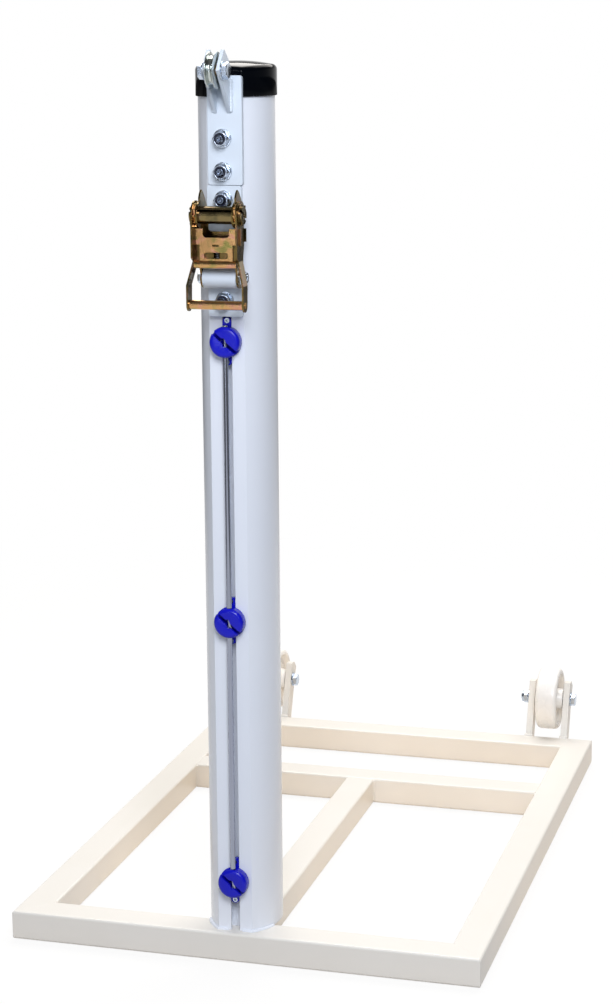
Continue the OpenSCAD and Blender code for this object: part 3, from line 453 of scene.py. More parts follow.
# %% Profiles and grids
def softened(corners, reach, steps=4, closed=False):
    """A profile with soft corners. Near each corner C the line is the curve
    (1 - t)^2 A + 2 t (1 - t) C + t^2 B, where A and B lie `reach` mm before and after C, or 0.48
    of the way to the next corner where that is nearer."""
    corner = np.asarray(corners, float)
    reach = np.array(np.broadcast_to(reach, len(corner)), float)
    if not closed:
        reach[[0, -1]] = 0
    sides = []
    for neighbour in (np.roll(corner, 1, 0), np.roll(corner, -1, 0)):
        gap = neighbour - corner
        length = np.maximum(np.linalg.norm(gap, axis=1), 1e-9)
        sides.append(corner + gap * (np.minimum(reach, 0.48 * length) / length)[:, None])
    t = np.linspace(0, 1, steps + 1)[None, :, None]
    before, after = sides[0][:, None], sides[1][:, None]
    curve = (1 - t) ** 2 * before + 2 * t * (1 - t) * corner[:, None] + t ** 2 * after
    return curve.reshape(-1, 2)


def turned(profile, across=None, flats=6, turn=0.0, count=72):
    """Surface of revolution about Z, (r cos a, r sin a, h) for each (r, h) of the profile. With a
    width w across n flats, r is at most (w / 2) / cos(((a - turn) mod 360/n) - 180/n degrees),
    which cuts the flats and leaves the curved chamfers of a turned nut."""
    a = np.arange(count) * 2 * np.pi / count
    r = np.repeat(profile[:, :1], count, 1)
    if across:
        r = np.minimum(r, across / 2 / np.cos((a - turn) % (2 * np.pi / flats) - np.pi / flats))
    return np.stack([r * np.cos(a), r * np.sin(a), np.repeat(profile[:, 1:], count, 1)], -1)


def tube(path, radius, beside, sides=12):
    """A circle carried along a path: p + r (cos b S + sin b T), where S is across the path and the
    fixed vector `beside`, and T across S and the path. Both ends close in a point."""
    ahead = np.gradient(path, axis=0)
    ahead /= np.linalg.norm(ahead, axis=1)[:, None]
    across = np.cross(ahead, beside)
    across /= np.linalg.norm(across, axis=1)[:, None]
    over = np.cross(across, ahead)
    b = (np.arange(sides) * 2 * np.pi / sides)[None, :, None]
    r = np.broadcast_to(radius, len(path))[:, None, None]
    spokes = np.cos(b) * across[:, None] + np.sin(b) * over[:, None]
    ends = [np.repeat(path[i:i + 1 or None, None], sides, 1) for i in (0, -1)]
    return np.concatenate([ends[0], path[:, None] + r * spokes, ends[1]])


def placed(grid, facing, at):
    """A grid made along Z, turned so that Z points up, forward, right or left, and moved to a point."""
    x, y, z = grid[..., 0], grid[..., 1], grid[..., 2]
    faced = {"up": (x, y, z), "forward": (x, -z, y), "right": (z, y, -x), "left": (-z, y, x)}[facing]
    return np.stack(faced, -1) + np.asarray(at, float)


soft_corner = softened([(0, 0), (10, 0), (10, 10)], 2).round(1)[5:10]
print("soft corner of a 10 mm square:", soft_corner.tolist())


# %% From grids to a piece
def piece(name, grids, finish, body, slot, *replaces, ring=False, crease=36):
    """One closed object from several grids in millimetres, whose columns wrap round, and whose rows
    wrap too where `ring` says that the profile is closed. It rides on a body."""
    points, faces, start = [], [], 0
    for grid in grids:
        rows, columns = grid.shape[:2]
        r, c = np.meshgrid(np.arange(rows if ring else rows - 1), np.arange(columns), indexing="ij")
        below, beside = (r + 1) % rows * columns, (c + 1) % columns
        quads = np.stack([r * columns + c, r * columns + beside, below + beside, below + c], -1)
        points.append(grid.reshape(-1, 3) * MM)
        faces.append(quads.reshape(-1, 4) + start)
        start += rows * columns
    mesh = bpy.data.meshes.new(name)
    mesh.from_pydata(np.concatenate(points).tolist(), [], np.concatenate(faces).tolist())
    shell = bmesh.new()
    shell.from_mesh(mesh)
    bmesh.ops.remove_doubles(shell, verts=shell.verts, dist=MERGE)
    bmesh.ops.recalc_face_normals(shell, faces=shell.faces)
    shell.to_mesh(mesh)
    shell.free()
    mesh.shade_smooth()
    mesh.set_sharp_from_angle(angle=math.radians(crease))
    mesh.materials.append(finish)
    made = bpy.data.objects.new(name, mesh)
    bpy.context.scene.collection.objects.link(made)
    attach(made, body)
    if replaces:
        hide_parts(*replaces)
    return made


# %% [markdown]
# ## End cap
# The cap is a black plastic moulding pushed over the post: a skirt that follows the oval, a
# round shoulder and a low dome. One function gives the oval's distance from its middle in
# every direction, and the cap is that outline drawn in step by step towards the top. The
# skirt is notched at the front for the bracket's plate. A piece that takes a CAD solid's place
# has to fit it, so its sizes are measured on the CAD model wherever a box can give them.


# %% Sizes measured on the CAD model
def span(node):
    """Lowest and highest corner of a CAD node, in millimetres to a hundredth."""
    return [[round(v / MM, 2) for v in corner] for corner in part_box(node)]


def middle(node):
    """Middle of a CAD node's box: half the sum of its two corners."""
    return [(low + high) / 2 for low, high in zip(*span(node))]


def axle(joint):
    """Where a joint has its axis, in millimetres to a hundredth."""
    row = next(row for row in frame["joints"] if row["name"] == joint)
    return [round(v / MM, 2) for v in row["pos_m"]]


print("post from", *span("post"))

# %% Oval outline of the post
HALF_WIDE, HALF_DEEP, POST_TOP = span("post")[1]
FLAT_HALF = 21.0  # half the width of its flat front and back
SIDE_C = (FLAT_HALF ** 2 + HALF_DEEP ** 2 - HALF_WIDE ** 2) / (2 * (HALF_WIDE - FLAT_HALF))
SIDE_R = HALF_WIDE + SIDE_C  # the round sides, whose centres lie SIDE_C to the other side
(_, _, CAP_BOTTOM), (_, _, CROWN_TOP) = span("end_cap")
CROWN_R = 210.0


def oval(a, grow):
    """Distance of the outline from the axis in direction a: the nearer of the round side,
    sqrt(R^2 - c^2 sin^2 a) - c |cos a|, and the flat, H / |sin a|, each moved out by `grow`."""
    side = np.sqrt((SIDE_R + grow) ** 2 - (SIDE_C * np.sin(a)) ** 2) - SIDE_C * np.abs(np.cos(a))
    return np.minimum(side, (HALF_DEEP + grow) / np.maximum(np.abs(np.sin(a)), 1e-6))


print("post across", round(2 * float(oval(0.0, 0)), 1), "mm")

# %% Cap with its shoulder and dome
SKIRT_OUT, SKIRT_IN, SHOULDER = 2.6, 0.2, 5.0  # how far the skirt stands off the post, and its round
NOTCH, NOTCH_TOP = (-18.15, 23.15), 1049.9  # the plate's edges in X, and the top of the notch
NOTCH_DEEP, NOTCH_Y = -HALF_DEEP - 0.25, -50.4  # its floor, and the Y at which its walls are placed
edges = np.array([x + d for x in NOTCH for d in (-0.03, 0.03)])
walls = np.arctan2(NOTCH_Y, edges) % (2 * np.pi)
turn = np.sort(np.concatenate([np.linspace(0, 2 * np.pi, 180, endpoint=False), walls]))


def crown(reach):
    """Height of the dome's sphere at a distance from the axis: top - R + sqrt(R^2 - d^2)."""
    return CROWN_TOP - CROWN_R + np.sqrt(CROWN_R ** 2 - reach ** 2)


skirt = oval(turn, SKIRT_OUT)
inside = oval(turn, SKIRT_IN)
levels = [(inside * 0, POST_TOP), (inside, POST_TOP), (inside, CAP_BOTTOM), (skirt - 0.5, CAP_BOTTOM),
          (skirt, CAP_BOTTOM + 0.6), (skirt, NOTCH_TOP), (skirt, NOTCH_TOP + 0.02)]
for lift in np.radians(np.linspace(0, 90, 9)):
    reach = skirt - SHOULDER * (1 - math.cos(lift))
    levels.append((reach, crown(reach) - SHOULDER * (1 - math.sin(lift))))
for share in np.linspace(0.92, 0, 12):
    levels.append(((skirt - SHOULDER) * share, crown((skirt - SHOULDER) * share)))
reach = np.array([level[0] for level in levels])
height = np.array([np.broadcast_to(level[1], len(turn)) for level in levels])
cap_points = np.stack([reach * np.cos(turn), reach * np.sin(turn), height], -1)
x, y, z = cap_points[..., 0], cap_points[..., 1], cap_points[..., 2]
cut = (x > NOTCH[0]) & (x < NOTCH[1]) & (y < NOTCH_DEEP) & (z < NOTCH_TOP + 0.01)
cap_points[cut, 1] = NOTCH_DEEP
piece("end_cap_moulding", [cap_points], cap_plastic, "stand", "cap_plastic", "end_cap", crease=60)
print("cap stands", CROWN_TOP - POST_TOP, "mm above the post")

# %% [markdown]
# ## Nuts, bolts and washers
# A hexagon nut is cut from hexagon bar and turned at both ends, so each flat ends in a curved
# edge. A locking nut has a collar on top, whose lip is rolled over a nylon ring. A bolt has
# the same head, and a thread: a helical groove, so the radius falls and rises with height and
# turns with the angle. It ends in a chamfer and the small hole of the lathe centre.


# %% Shapes of the nuts and washers
def hexagon_sizes(across, face=0.3):
    """Radius of a hexagon's flats and of its corners, and the height of the chamfer, which starts
    `face` mm inside the flats and falls at about 30 degrees, 0.55 for 1."""
    flat, corner = across / 2, across / math.sqrt(3) + 0.02
    return flat, corner, (corner - flat + face) * 0.55


def locking_nut(bore, across, high, hexagon):
    """Closed profile of a locking nut, from its bore out, up the flats, over the collar's lip and
    down to the ring's seat."""
    flat, corner, slope = hexagon_sizes(across)
    ring_wide, ring_deep = 1.65, 2.4
    seat = bore + ring_wide
    return turned(softened([
        (bore, 0), (flat - 0.3, 0), (corner, slope), (corner, hexagon - slope), (flat - 0.5, hexagon),
        (flat - 0.6, high - 1.1), (flat - 0.7, high), (seat - 0.1, high), (seat, high - 0.9),
        (seat, high - ring_deep), (bore, high - ring_deep)],
        [0.2, 0.2, 0.05, 0.05, 0.4, 0.2, 0.9, 0.3, 0.1, 0.1, 0.1], steps=4, closed=True), across)


def plain_nut(bore, across, high):
    """Closed profile of a plain nut, chamfered at both ends and at its bore."""
    flat, corner, slope = hexagon_sizes(across)
    return turned(softened([
        (bore, 0.6), (bore + 0.6, 0), (flat - 0.3, 0), (corner, slope), (corner, high - slope),
        (flat - 0.3, high), (bore + 0.6, high), (bore, high - 0.6)], 0.12, steps=2, closed=True), across)


def washer(outside, inside, thick):
    """Closed profile of a stamped washer: a rectangle with soft edges."""
    return turned(softened([(inside, 0), (outside, 0), (outside, thick), (inside, thick)],
                           [0.15, 0.35, 0.45, 0.15], closed=True))


print("locking nut:", locking_nut(5.05, 17, 10, 7.2).shape[:2], "points")


# %% Shapes of the bolts
def threaded(radius, low, long, plain=0.0, pitch=1.5, depth=0.55, chamfer=1.4, count=48):
    """Shank from `low` up: radius R - depth (1 - |2 frac(h / pitch - a / 360) - 1|) on the thread,
    plain below it, and R less the height past the chamfer's start at its end."""
    first = max(low, plain)
    h = np.concatenate([[low], np.linspace(first, long, int((long - first) / pitch * 7))])[:, None]
    a = np.arange(count) * 2 * np.pi / count
    wave = 1 - np.abs(2 * ((h / pitch - a / (2 * np.pi)) % 1) - 1)
    on = np.clip((h - plain) / pitch, 0, 1)
    r = np.minimum(radius - depth * wave * on, radius + 0.1 - np.clip(h - long + chamfer, 0, 9))
    walls = np.stack([r * np.cos(a), r * np.sin(a), np.repeat(h, count, 1)], -1)
    centre_hole = turned(np.array([
        (radius - 1.3, long), (radius * 0.44, long), (radius * 0.36, long - 0.4),
        (radius * 0.34, long - 1.8), (0.0, long - 2.2)]), count=count)
    foot = turned(np.array([(0.0, low)]), count=count)
    return np.concatenate([foot, walls, centre_hole])


def hexagon_head(across, high):
    """Head below zero: chamfered top face, flats, and a washer face where it meets the shank."""
    flat, corner, slope = hexagon_sizes(across, face=0.4)
    return turned(softened([
        (0, -high), (flat - 0.4, -high), (corner, slope - high), (corner, -0.3), (flat - 0.2, 0), (0, 0)],
        [0, 0.3, 0.05, 0.05, 0.05, 0], steps=3), across)


print("head:", hexagon_head(17, 6.4).shape[:2], "points")

# %% Fasteners of the plates
SHANK_R, BORE_R, ACROSS, HEAD_HIGH = 5.0, 5.05, 17, 6.4  # the size of every bolt but the anchor's
WASHER_R, WASHER_T = 10.5, 2.0
LOCK_HIGH, LOCK_FLATS = 10, 7.2  # a locking nut, and its hexagon without the collar
SUNK, PAST_NUT = -0.5, 1.5  # a shank starts inside its head, and ends this far past its nut
FACE_Y, LIP_Y = -HALF_DEEP, -HALF_DEEP + 4  # the post's face, and the inside of its groove's lips
CLAMP_ZS = [980.5, 943.5, 912.0, 798.5]
PLATES = [6.0, 6.0, 5.0, 5.0]  # plate under each nut
SQUARE, SQUARE_HIGH = 16, 6  # the square heads behind the lips
square_head = turned(softened([
    (0, -SQUARE_HIGH), (7.6, -SQUARE_HIGH), (11.4, -4.9), (11.4, -0.4), (10.9, 0), (0, 0)],
    [0, 0.3, 0.1, 0.1, 0.1, 0]), SQUARE, flats=4, turn=math.pi / 4)
nut = locking_nut(BORE_R, ACROSS, LOCK_HIGH, LOCK_FLATS)
clamp_bolts, clamp_nuts, clamp_washers = [], [], []
for z, plate in zip(CLAMP_ZS, PLATES):
    shank = threaded(SHANK_R, SUNK, LIP_Y - FACE_Y + plate + WASHER_T + LOCK_HIGH + PAST_NUT)
    clamp_bolts.append(placed(square_head, "forward", (0, LIP_Y, z)))
    clamp_bolts.append(placed(shank, "forward", (0, LIP_Y, z)))
    clamp_nuts.append(placed(nut, "forward", (0, FACE_Y - plate - WASHER_T, z)))
    clamp_washers.append(placed(washer(WASHER_R, BORE_R, WASHER_T), "forward", (0, FACE_Y - plate, z)))
piece("clamp_bolts_threaded", clamp_bolts, shaded_bolt_zinc, "stand", "zinc_steel", "clamp_bolts")
piece("clamp_nuts_turned", clamp_nuts, clear_zinc, "stand", "zinc_steel", "clamp_nuts", ring=True)
piece("clamp_washers_stamped", clamp_washers, clear_zinc, "stand", "zinc_steel", "clamp_washers", ring=True)
print(len(clamp_nuts), "locking nuts on the plates")

# %% Fasteners of the wheels
WHEEL_XS = [axle("left_wheel_spin")[0], axle("right_wheel_spin")[0]]
_, AXLE_Y, AXLE_Z = axle("left_wheel_spin")
EAR_OUT = WHEEL_XS[0] - span("wheel_ears")[0][0]
EAR_IN = EAR_OUT - 9.5  # an ear's two faces, from the middle of its wheel
AXLE_NUT, AXLE_NUT_FLATS, AXLE_PLAIN = 9, 6.5, 50  # nut, its hexagon, and the shank without thread
wheel_bolts, wheel_nuts, wheel_washers = [], [], []
for x in WHEEL_XS:
    head_at = (x + EAR_OUT + WASHER_T, AXLE_Y, AXLE_Z)
    nut_at = (x - EAR_OUT - WASHER_T, AXLE_Y, AXLE_Z)
    shank = threaded(SHANK_R, SUNK, 2 * (EAR_OUT + WASHER_T) + AXLE_NUT + PAST_NUT, plain=AXLE_PLAIN)
    wheel_bolts.append(placed(hexagon_head(ACROSS, HEAD_HIGH), "left", head_at))
    wheel_bolts.append(placed(shank, "left", head_at))
    wheel_nuts.append(placed(locking_nut(BORE_R, ACROSS, AXLE_NUT, AXLE_NUT_FLATS), "left", nut_at))
    for facing, side in (("right", EAR_OUT), ("left", -EAR_OUT)):
        wheel_washers.append(placed(washer(WASHER_R, BORE_R, WASHER_T), facing, (x + side, AXLE_Y, AXLE_Z)))
piece("wheel_bolts_threaded", wheel_bolts, clear_zinc, "stand", "zinc_steel", "wheel_bolts")
piece("wheel_nuts_turned", wheel_nuts, clear_zinc, "stand", "zinc_steel", "wheel_nuts", ring=True)
piece("wheel_washers_stamped", wheel_washers, clear_zinc, "stand", "zinc_steel", "wheel_washers", ring=True)
print(len(wheel_bolts) // 2, "axle bolts")

# %% Fasteners of the pulley
_, PULLEY_Y, PULLEY_Z = axle("pulley_spin")
BRACKET_OUT = 10.15  # outer faces of the bracket's ears
PULLEY_WASHER, PULLEY_NUT, PULLEY_PAST, PULLEY_PLAIN = 1.0, 6, 1, 14
head_at = (BRACKET_OUT + PULLEY_WASHER, PULLEY_Y, PULLEY_Z)
pulley_bolt_long = 2 * BRACKET_OUT + 2 * PULLEY_WASHER + PULLEY_NUT + PULLEY_PAST
piece("pulley_bolt_threaded", [
    placed(hexagon_head(ACROSS, HEAD_HIGH), "left", head_at),
    placed(threaded(SHANK_R, SUNK, pulley_bolt_long, plain=PULLEY_PLAIN), "left", head_at)],
    clear_zinc, "stand", "zinc_steel", "pulley_bolt")
nut_at = (-BRACKET_OUT - PULLEY_WASHER, PULLEY_Y, PULLEY_Z)
piece("pulley_nut_turned", [placed(plain_nut(BORE_R, ACROSS, PULLEY_NUT), "left", nut_at)],
      clear_zinc, "stand", "zinc_steel", "pulley_nut", ring=True)
piece("pulley_washers_stamped", [
    placed(washer(WASHER_R, BORE_R, PULLEY_WASHER), facing, (side, PULLEY_Y, PULLEY_Z))
    for facing, side in (("right", BRACKET_OUT), ("left", -BRACKET_OUT))],
    clear_zinc, "stand", "zinc_steel", "pulley_washers", ring=True)
print("pulley bolt", round(pulley_bolt_long, 1), "mm long")

# %% Bolt of the ratchet's anchor
RATCHET_X, _, _ = middle("ratchet_frame")
SIDE_OUT = span("ratchet_frame")[1][0] - RATCHET_X
_, ANCHOR_Y, ANCHOR_Z = middle("anchor_nut")
ANCHOR_R, ANCHOR_ACROSS, ANCHOR_HEAD, ANCHOR_PITCH, ANCHOR_PLAIN = 4.0, 13, 5.3, 1.25, 36
ANCHOR_WASHER, ANCHOR_NUT, ANCHOR_PAST = 1.2, 6.6, 0.6
head_at = (RATCHET_X - SIDE_OUT, ANCHOR_Y, ANCHOR_Z)
anchor_bolt_long = 2 * SIDE_OUT + ANCHOR_WASHER + ANCHOR_NUT + ANCHOR_PAST
anchor_shank = threaded(ANCHOR_R, SUNK, anchor_bolt_long, plain=ANCHOR_PLAIN, pitch=ANCHOR_PITCH)
piece("anchor_bolt_threaded", [
    placed(hexagon_head(ANCHOR_ACROSS, ANCHOR_HEAD), "right", head_at),
    placed(anchor_shank, "right", head_at)],
    clear_zinc, "stand", "zinc_steel", "anchor_bolt")
print("anchor bolt", round(anchor_bolt_long, 1), "mm long")

# %% [markdown]
# ## Wheels and pulley
# A transport wheel is cast nylon: a hub, a thin web, a thick rim with soft shoulders, and on
# the tread the faint ridge where the two halves of the mould met. The pulley is turned steel
# with a round groove between two flanges, and a fine line where the tool stopped. Both are
# profiles turned about an axle, mirrored about their middle.


# %% Wheels
def mirrored_profile(half):
    """Closed profile of a turned piece from one half: the corners (r, h), then (r, -h) backwards."""
    half = np.asarray(half, float)
    return np.concatenate([half, half[::-1] * (1, -1)])


(hub_left, _, wheel_low), (hub_right, _, _) = span("left_wheel")
WHEEL_R, HUB_W = AXLE_Z - wheel_low, hub_right - hub_left
TREAD, HUB_R = 32.0, 15.0
SLEEVE_R, SLEEVE_BORE, SLEEVE_LONG = 6.7, 5.2, 2 * EAR_IN
wheel_half = mirrored_profile([
    (6.8, HUB_W / 2), (HUB_R, HUB_W / 2), (HUB_R + 2, TREAD * 0.3), (WHEEL_R * 0.73, TREAD * 0.28),
    (WHEEL_R * 0.82, TREAD / 2), (WHEEL_R * 0.93, TREAD / 2), (WHEEL_R - 0.15, TREAD * 0.38),
    (WHEEL_R - 0.15, 0.5), (WHEEL_R, 0.25)])
reach = [0.5, 1.6, 2.5, 3.0, 2.0, 3.4, 4.2, 0.1, 0.1]
wheel_shape = turned(softened(wheel_half, reach + reach[::-1], steps=6, closed=True), count=120)
for name, x in (("left", WHEEL_XS[0]), ("right", WHEEL_XS[1])):
    piece(f"{name}_wheel_cast", [placed(wheel_shape, "right", (x, AXLE_Y, AXLE_Z))], wheel_nylon,
          f"{name}_transport_wheel", "wheel_nylon", f"{name}_wheel", ring=True)
piece("wheel_sleeves_cut", [
    placed(washer(SLEEVE_R, SLEEVE_BORE, SLEEVE_LONG), "right", (x - SLEEVE_LONG / 2, AXLE_Y, AXLE_Z))
    for x in WHEEL_XS], clear_zinc, "stand", "zinc_steel", "wheel_sleeves", ring=True)
print("wheels", 2 * WHEEL_R, "mm across")

# %% Pulley
PULLEY_HALF, _, pulley_top = span("pulley_wheel")[1]
PULLEY_R, PULLEY_ROOT = pulley_top - PULLEY_Z, 15.0
pulley_half = mirrored_profile([
    (6.3, PULLEY_HALF), (11.2, PULLEY_HALF), (11.5, PULLEY_HALF - 0.3), (11.8, PULLEY_HALF),
    (PULLEY_R, PULLEY_HALF), (PULLEY_R, PULLEY_HALF - 0.9), (PULLEY_ROOT + 2.6, 2.6),
    (PULLEY_ROOT + 0.3, 1.6)])
reach = [0.2, 0.05, 0.05, 0.05, 0.35, 0.35, 0.8, 1.2]
pulley_shape = turned(softened(pulley_half, reach + reach[::-1], steps=5, closed=True), count=96)
piece("pulley_wheel_turned", [placed(pulley_shape, "right", (0, PULLEY_Y, PULLEY_Z))], pulley_zinc,
      "pulley", "yellow_zinc", "pulley_wheel", ring=True)
print("pulley", 2 * PULLEY_R, "mm across")

# %% [markdown]
# ## Rod and springs
# The lacing rod is drawn steel with both ends rounded off. Each slider in the ratchet is
# pushed by a small coil spring: round wire whose centre line is a helix that closes at both
# ends. A circle carried along that line makes the wire. A spring shortens as its slider is
# pulled, and each one here gets a mesh of its own.

# %% Lacing rod
(_, _, ROD_LOW), (ROD_R, _, ROD_TOP) = span("lacing_rod")
ROD_Y = middle("lacing_rod")[1]
rod_profile = softened([(0, ROD_LOW), (ROD_R, ROD_LOW), (ROD_R, ROD_TOP), (0, ROD_TOP)],
                       [0, 1.4, 1.4, 0], steps=6)
piece("lacing_rod_drawn", [placed(turned(rod_profile, count=40), "up", (0, ROD_Y, 0))], rod_steel, "rod",
      "rod_steel", "lacing_rod", crease=60)
print("rod", round(ROD_TOP - ROD_LOW, 1), "mm long")


# %% Springs
def coil(x, y, low, high, radius=2.1, wire=0.4, turns=6):
    """Helix (R cos a, R sin a, h) whose height rises evenly but for a flat third of a turn at
    each end."""
    a = np.linspace(0, 2 * np.pi * turns, turns * 28)
    rise = np.clip((a - np.pi * 0.6) / (a[-1] - np.pi * 1.2), 0, 1)
    h = low + wire + rise * (high - low - 2 * wire)
    path = np.stack([x + radius * np.cos(a), y + radius * np.sin(a), h], -1)
    return tube(path, wire, (0, 0, 1), sides=10)


SPRING = 13.8  # length at rest
SLIDERS = [("lock", "stand", -61.0, 848.702, 5.0), ("release", "handle", -81.0, 846.434, 6.0)]
for name, body, y, low, travel in SLIDERS:
    spring = piece(f"{name}_spring_wound", [coil(RATCHET_X, y, low, low + SPRING)], spring_wire, body,
                   "spring_steel", f"{name}_spring", crease=60)
    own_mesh(spring)

# %% [markdown]
# ## Welds
# The tubes, the wheel ears and the foot of the post are welded before they are painted. A
# weld is a bead with a ripple for each step of the torch, softened by the paint. It is a
# circle carried along the joint, whose radius swells with each ripple and closes in at both
# ends. Most of it is sunk in the corner, so that only its face shows.


# %% Weld beads
def bead(path, radius, ripple=2.8):
    """Radius r (0.88 + 0.12 |sin(pi s / ripple)|) (1 - |2 s / L - 1|^14)^0.5 along the distance s."""
    path = np.asarray(path, float)
    steps = np.linalg.norm(np.diff(path, axis=0), axis=1)
    s = np.concatenate([[0], np.cumsum(steps)])
    even = np.linspace(0, s[-1], max(16, int(s[-1] / 0.55)))
    path = np.stack([np.interp(even, s, path[:, i]) for i in range(3)], -1)
    swell = 0.88 + 0.12 * np.abs(np.sin(np.pi * even / ripple))
    close = np.sqrt(np.maximum(1 - np.abs(2 * even / s[-1] - 1) ** 14, 0.02))
    lean = (0, 0, 1) if abs(path[-1, 2] - path[0, 2]) < 1 else (0, 1, 0)
    return tube(path, radius * swell * close, lean, sides=10)


print("bead across 20 mm:", bead([(0, 0, 0), (20, 0, 0)], 2).shape[:2], "points")

# %% Welds in the corners of the frame
(LEFT_X, FRONT_Y, _), (RIGHT_X, INNER_FRONT, RAIL_H) = span("front_rail")
(_, INNER_REAR, _), (_, REAR_Y, _) = span("rear_rail")
(INNER_LEFT, CROSS_FRONT, _), (INNER_RIGHT, CROSS_REAR, _) = span("cross_rail")
(MIDDLE_LEFT, _, _), (MIDDLE_RIGHT, _, _) = span("middle_rail")
CORNER_BEAD = 2.3
inner_corners = [
    (INNER_LEFT, CROSS_FRONT), (INNER_LEFT, CROSS_REAR), (INNER_RIGHT, CROSS_FRONT),
    (INNER_RIGHT, CROSS_REAR), (MIDDLE_LEFT, INNER_FRONT), (MIDDLE_RIGHT, INNER_FRONT),
    (MIDDLE_LEFT, CROSS_FRONT), (MIDDLE_RIGHT, CROSS_FRONT), (INNER_LEFT, INNER_FRONT),
    (INNER_RIGHT, INNER_FRONT), (INNER_LEFT, INNER_REAR), (INNER_RIGHT, INNER_REAR)]
beads = [bead([(x, y, 3.0), (x, y, RAIL_H - 1.5)], CORNER_BEAD) for x, y in inner_corners]
print(len(beads), "beads in the corners")

# %% Welds of the wheel ears and on top of the frame
EAR_BEAD, EAR_STEP, EAR_REACH = 3.2, 3.6, 6.5  # radius, ripple, and half the bead across an ear
EAR_MIDDLE = (EAR_IN + EAR_OUT) / 2
y, z = REAR_Y - 0.6, RAIL_H - 0.2
for x in WHEEL_XS:
    for side in (-EAR_OUT, -EAR_IN, EAR_IN, EAR_OUT):
        beads.append(bead([(x + side, REAR_Y, 5.0), (x + side, REAR_Y, RAIL_H - 1)], EAR_BEAD, EAR_STEP))
    for side in (-EAR_MIDDLE, EAR_MIDDLE):
        beads.append(bead([(x + side - EAR_REACH, y, z), (x + side + EAR_REACH, y, z)], EAR_BEAD, EAR_STEP))
FLUSH, FLUSH_R, FLUSH_STEP = RAIL_H - 1.5, 1.75, 5  # ground welds stand only 0.25 mm proud
flat_lines = [((x + 4 * u, y + 4 * v), (x + 40 * u, y + 40 * v)) for x, y, u, v in (
    (LEFT_X, FRONT_Y, 1, 1), (RIGHT_X, FRONT_Y, -1, 1), (LEFT_X, REAR_Y, 1, -1), (RIGHT_X, REAR_Y, -1, -1))]
flat_lines += [((x, CROSS_FRONT + 3), (x, CROSS_REAR - 3)) for x in (INNER_LEFT, INNER_RIGHT)]
flat_lines.append(((MIDDLE_LEFT + 3, CROSS_FRONT), (MIDDLE_RIGHT - 3, CROSS_FRONT)))
beads += [bead([(*start, FLUSH), (*end, FLUSH)], FLUSH_R, FLUSH_STEP) for start, end in flat_lines]
piece("frame_welds", beads, frame_coat, "stand", "frame_paint", crease=70)
print(len(beads), "beads on the frame")

# %% Welds of the post, the pulley bracket and the anchor tube
FOOT_BEAD, FOOT_OUT, FOOT_Z, MOUTH_HALF = 2.4, 0.6, RAIL_H + 0.3, 7.5  # none across the groove's mouth
foot_turn = np.linspace(-np.pi, 0, 240)
foot = oval(foot_turn, FOOT_OUT)[:, None] * np.stack([np.cos(foot_turn), np.sin(foot_turn)], -1)
foot = foot[foot[:, 1] < INNER_FRONT - 1.5]
foot = np.column_stack([foot, np.full(len(foot), FOOT_Z)])
mouth = np.abs(foot[:, 0]) < MOUTH_HALF
back_y = HALF_DEEP + FOOT_OUT
foot_lines = [foot[:np.argmax(mouth)], foot[len(mouth) - np.argmax(mouth[::-1]):],
              [(MIDDLE_LEFT + 3.5, back_y, FOOT_Z), (MIDDLE_RIGHT - 3.5, back_y, FOOT_Z)]]
beads = [bead(line, FOOT_BEAD) for line in foot_lines]
piece("post_foot_welds", beads, post_coat, "stand", "post_paint", crease=70)
BRACKET_LOW, BRACKET_HIGH, BRACKET_BEAD = 1008.5, 1047.0, 3.0
TUBE_SIDE, TUBE_HALF, TUBE_BEAD = 7.5, 18.5, 2.0  # two beads, above and below the anchor tube's axis
bracket_y, anchor_y = FACE_Y - PLATES[0], FACE_Y - PLATES[-1]
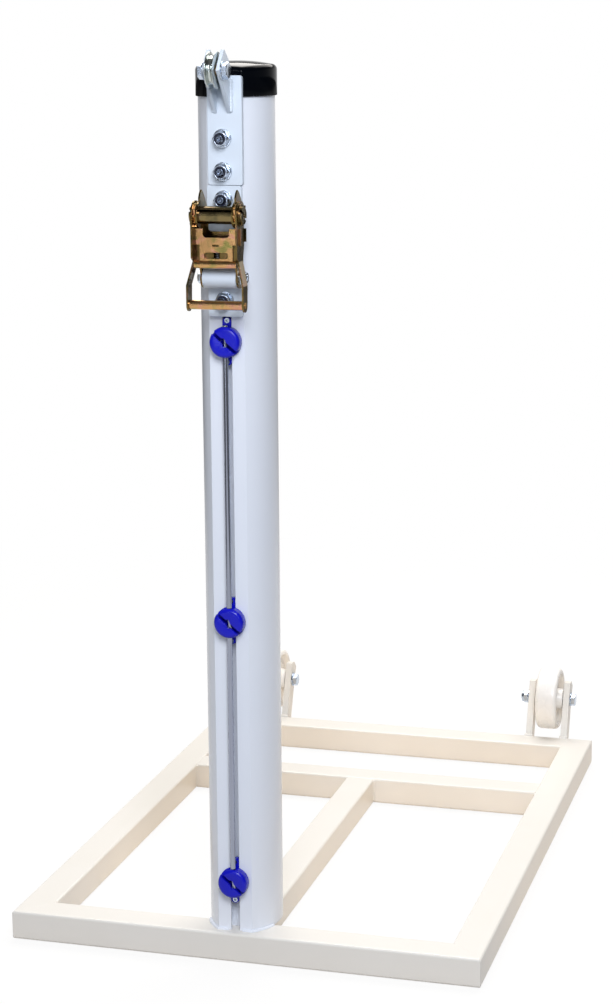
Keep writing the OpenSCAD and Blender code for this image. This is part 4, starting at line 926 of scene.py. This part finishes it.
beads = [bead([(x, bracket_y, BRACKET_LOW), (x, bracket_y, BRACKET_HIGH)], BRACKET_BEAD, EAR_STEP)
         for x in (-BRACKET_OUT, BRACKET_OUT)]
beads += [bead([(RATCHET_X - TUBE_HALF, anchor_y, z), (RATCHET_X + TUBE_HALF, anchor_y, z)], TUBE_BEAD)
          for z in (ANCHOR_Z - TUBE_SIDE, ANCHOR_Z + TUBE_SIDE)]
piece("plate_welds", beads, plate_coat, "stand", "post_paint", crease=70)
print("welds on the post's foot and its two plates")

# %% [markdown]
# ## Soft edges on the moulded clips
# No real edge is a knife edge, and a moulded clip's edges are about half a millimetre round.
# Painted plates and punched sheet get theirs from the Bevel node in their finish. The clips
# are large in the picture, so the CAD's solid is copied, its triangles are joined back into
# flat faces, and a Bevel modifier rounds each sharp edge, so that the light catches it.


# %% Copies with rounded edges
def soft_edged(node, finish, body, width, segments=3, sharp=32):
    """Copy of a CAD solid whose edges sharper than `sharp` degrees are rounded by `width` mm."""
    mesh = nodes[node].data.copy()
    mesh.name = node + "_soft"
    solid = bmesh.new()
    solid.from_mesh(mesh)
    bmesh.ops.remove_doubles(solid, verts=solid.verts, dist=MERGE)
    bmesh.ops.dissolve_limit(solid, angle_limit=math.radians(0.6), verts=solid.verts, edges=solid.edges)
    bmesh.ops.recalc_face_normals(solid, faces=solid.faces)
    solid.to_mesh(mesh)
    solid.free()
    mesh.shade_smooth()
    mesh.materials.clear()
    mesh.materials.append(finish)
    made = bpy.data.objects.new(node + "_soft", mesh)
    bpy.context.scene.collection.objects.link(made)
    edge = made.modifiers.new("edges", "BEVEL")
    edge.width, edge.segments, edge.limit_method = width * MM, segments, "ANGLE"
    edge.angle_limit = math.radians(sharp)
    edge.harden_normals = True
    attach(made, body)
    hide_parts(node)
    return made


CLIPS = {"top_clip": "upper_clip", "middle_clip": "centre_clip", "bottom_clip": "lower_clip"}
CLIP_EDGE = 0.5
for clip, body in CLIPS.items():
    soft_edged(clip, blue_nylon, body, CLIP_EDGE)
print("soft edges on the clips")

# %% View settings, sizes and the table of pieces
bpy.context.scene.view_settings.view_transform = "Standard"
low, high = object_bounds()
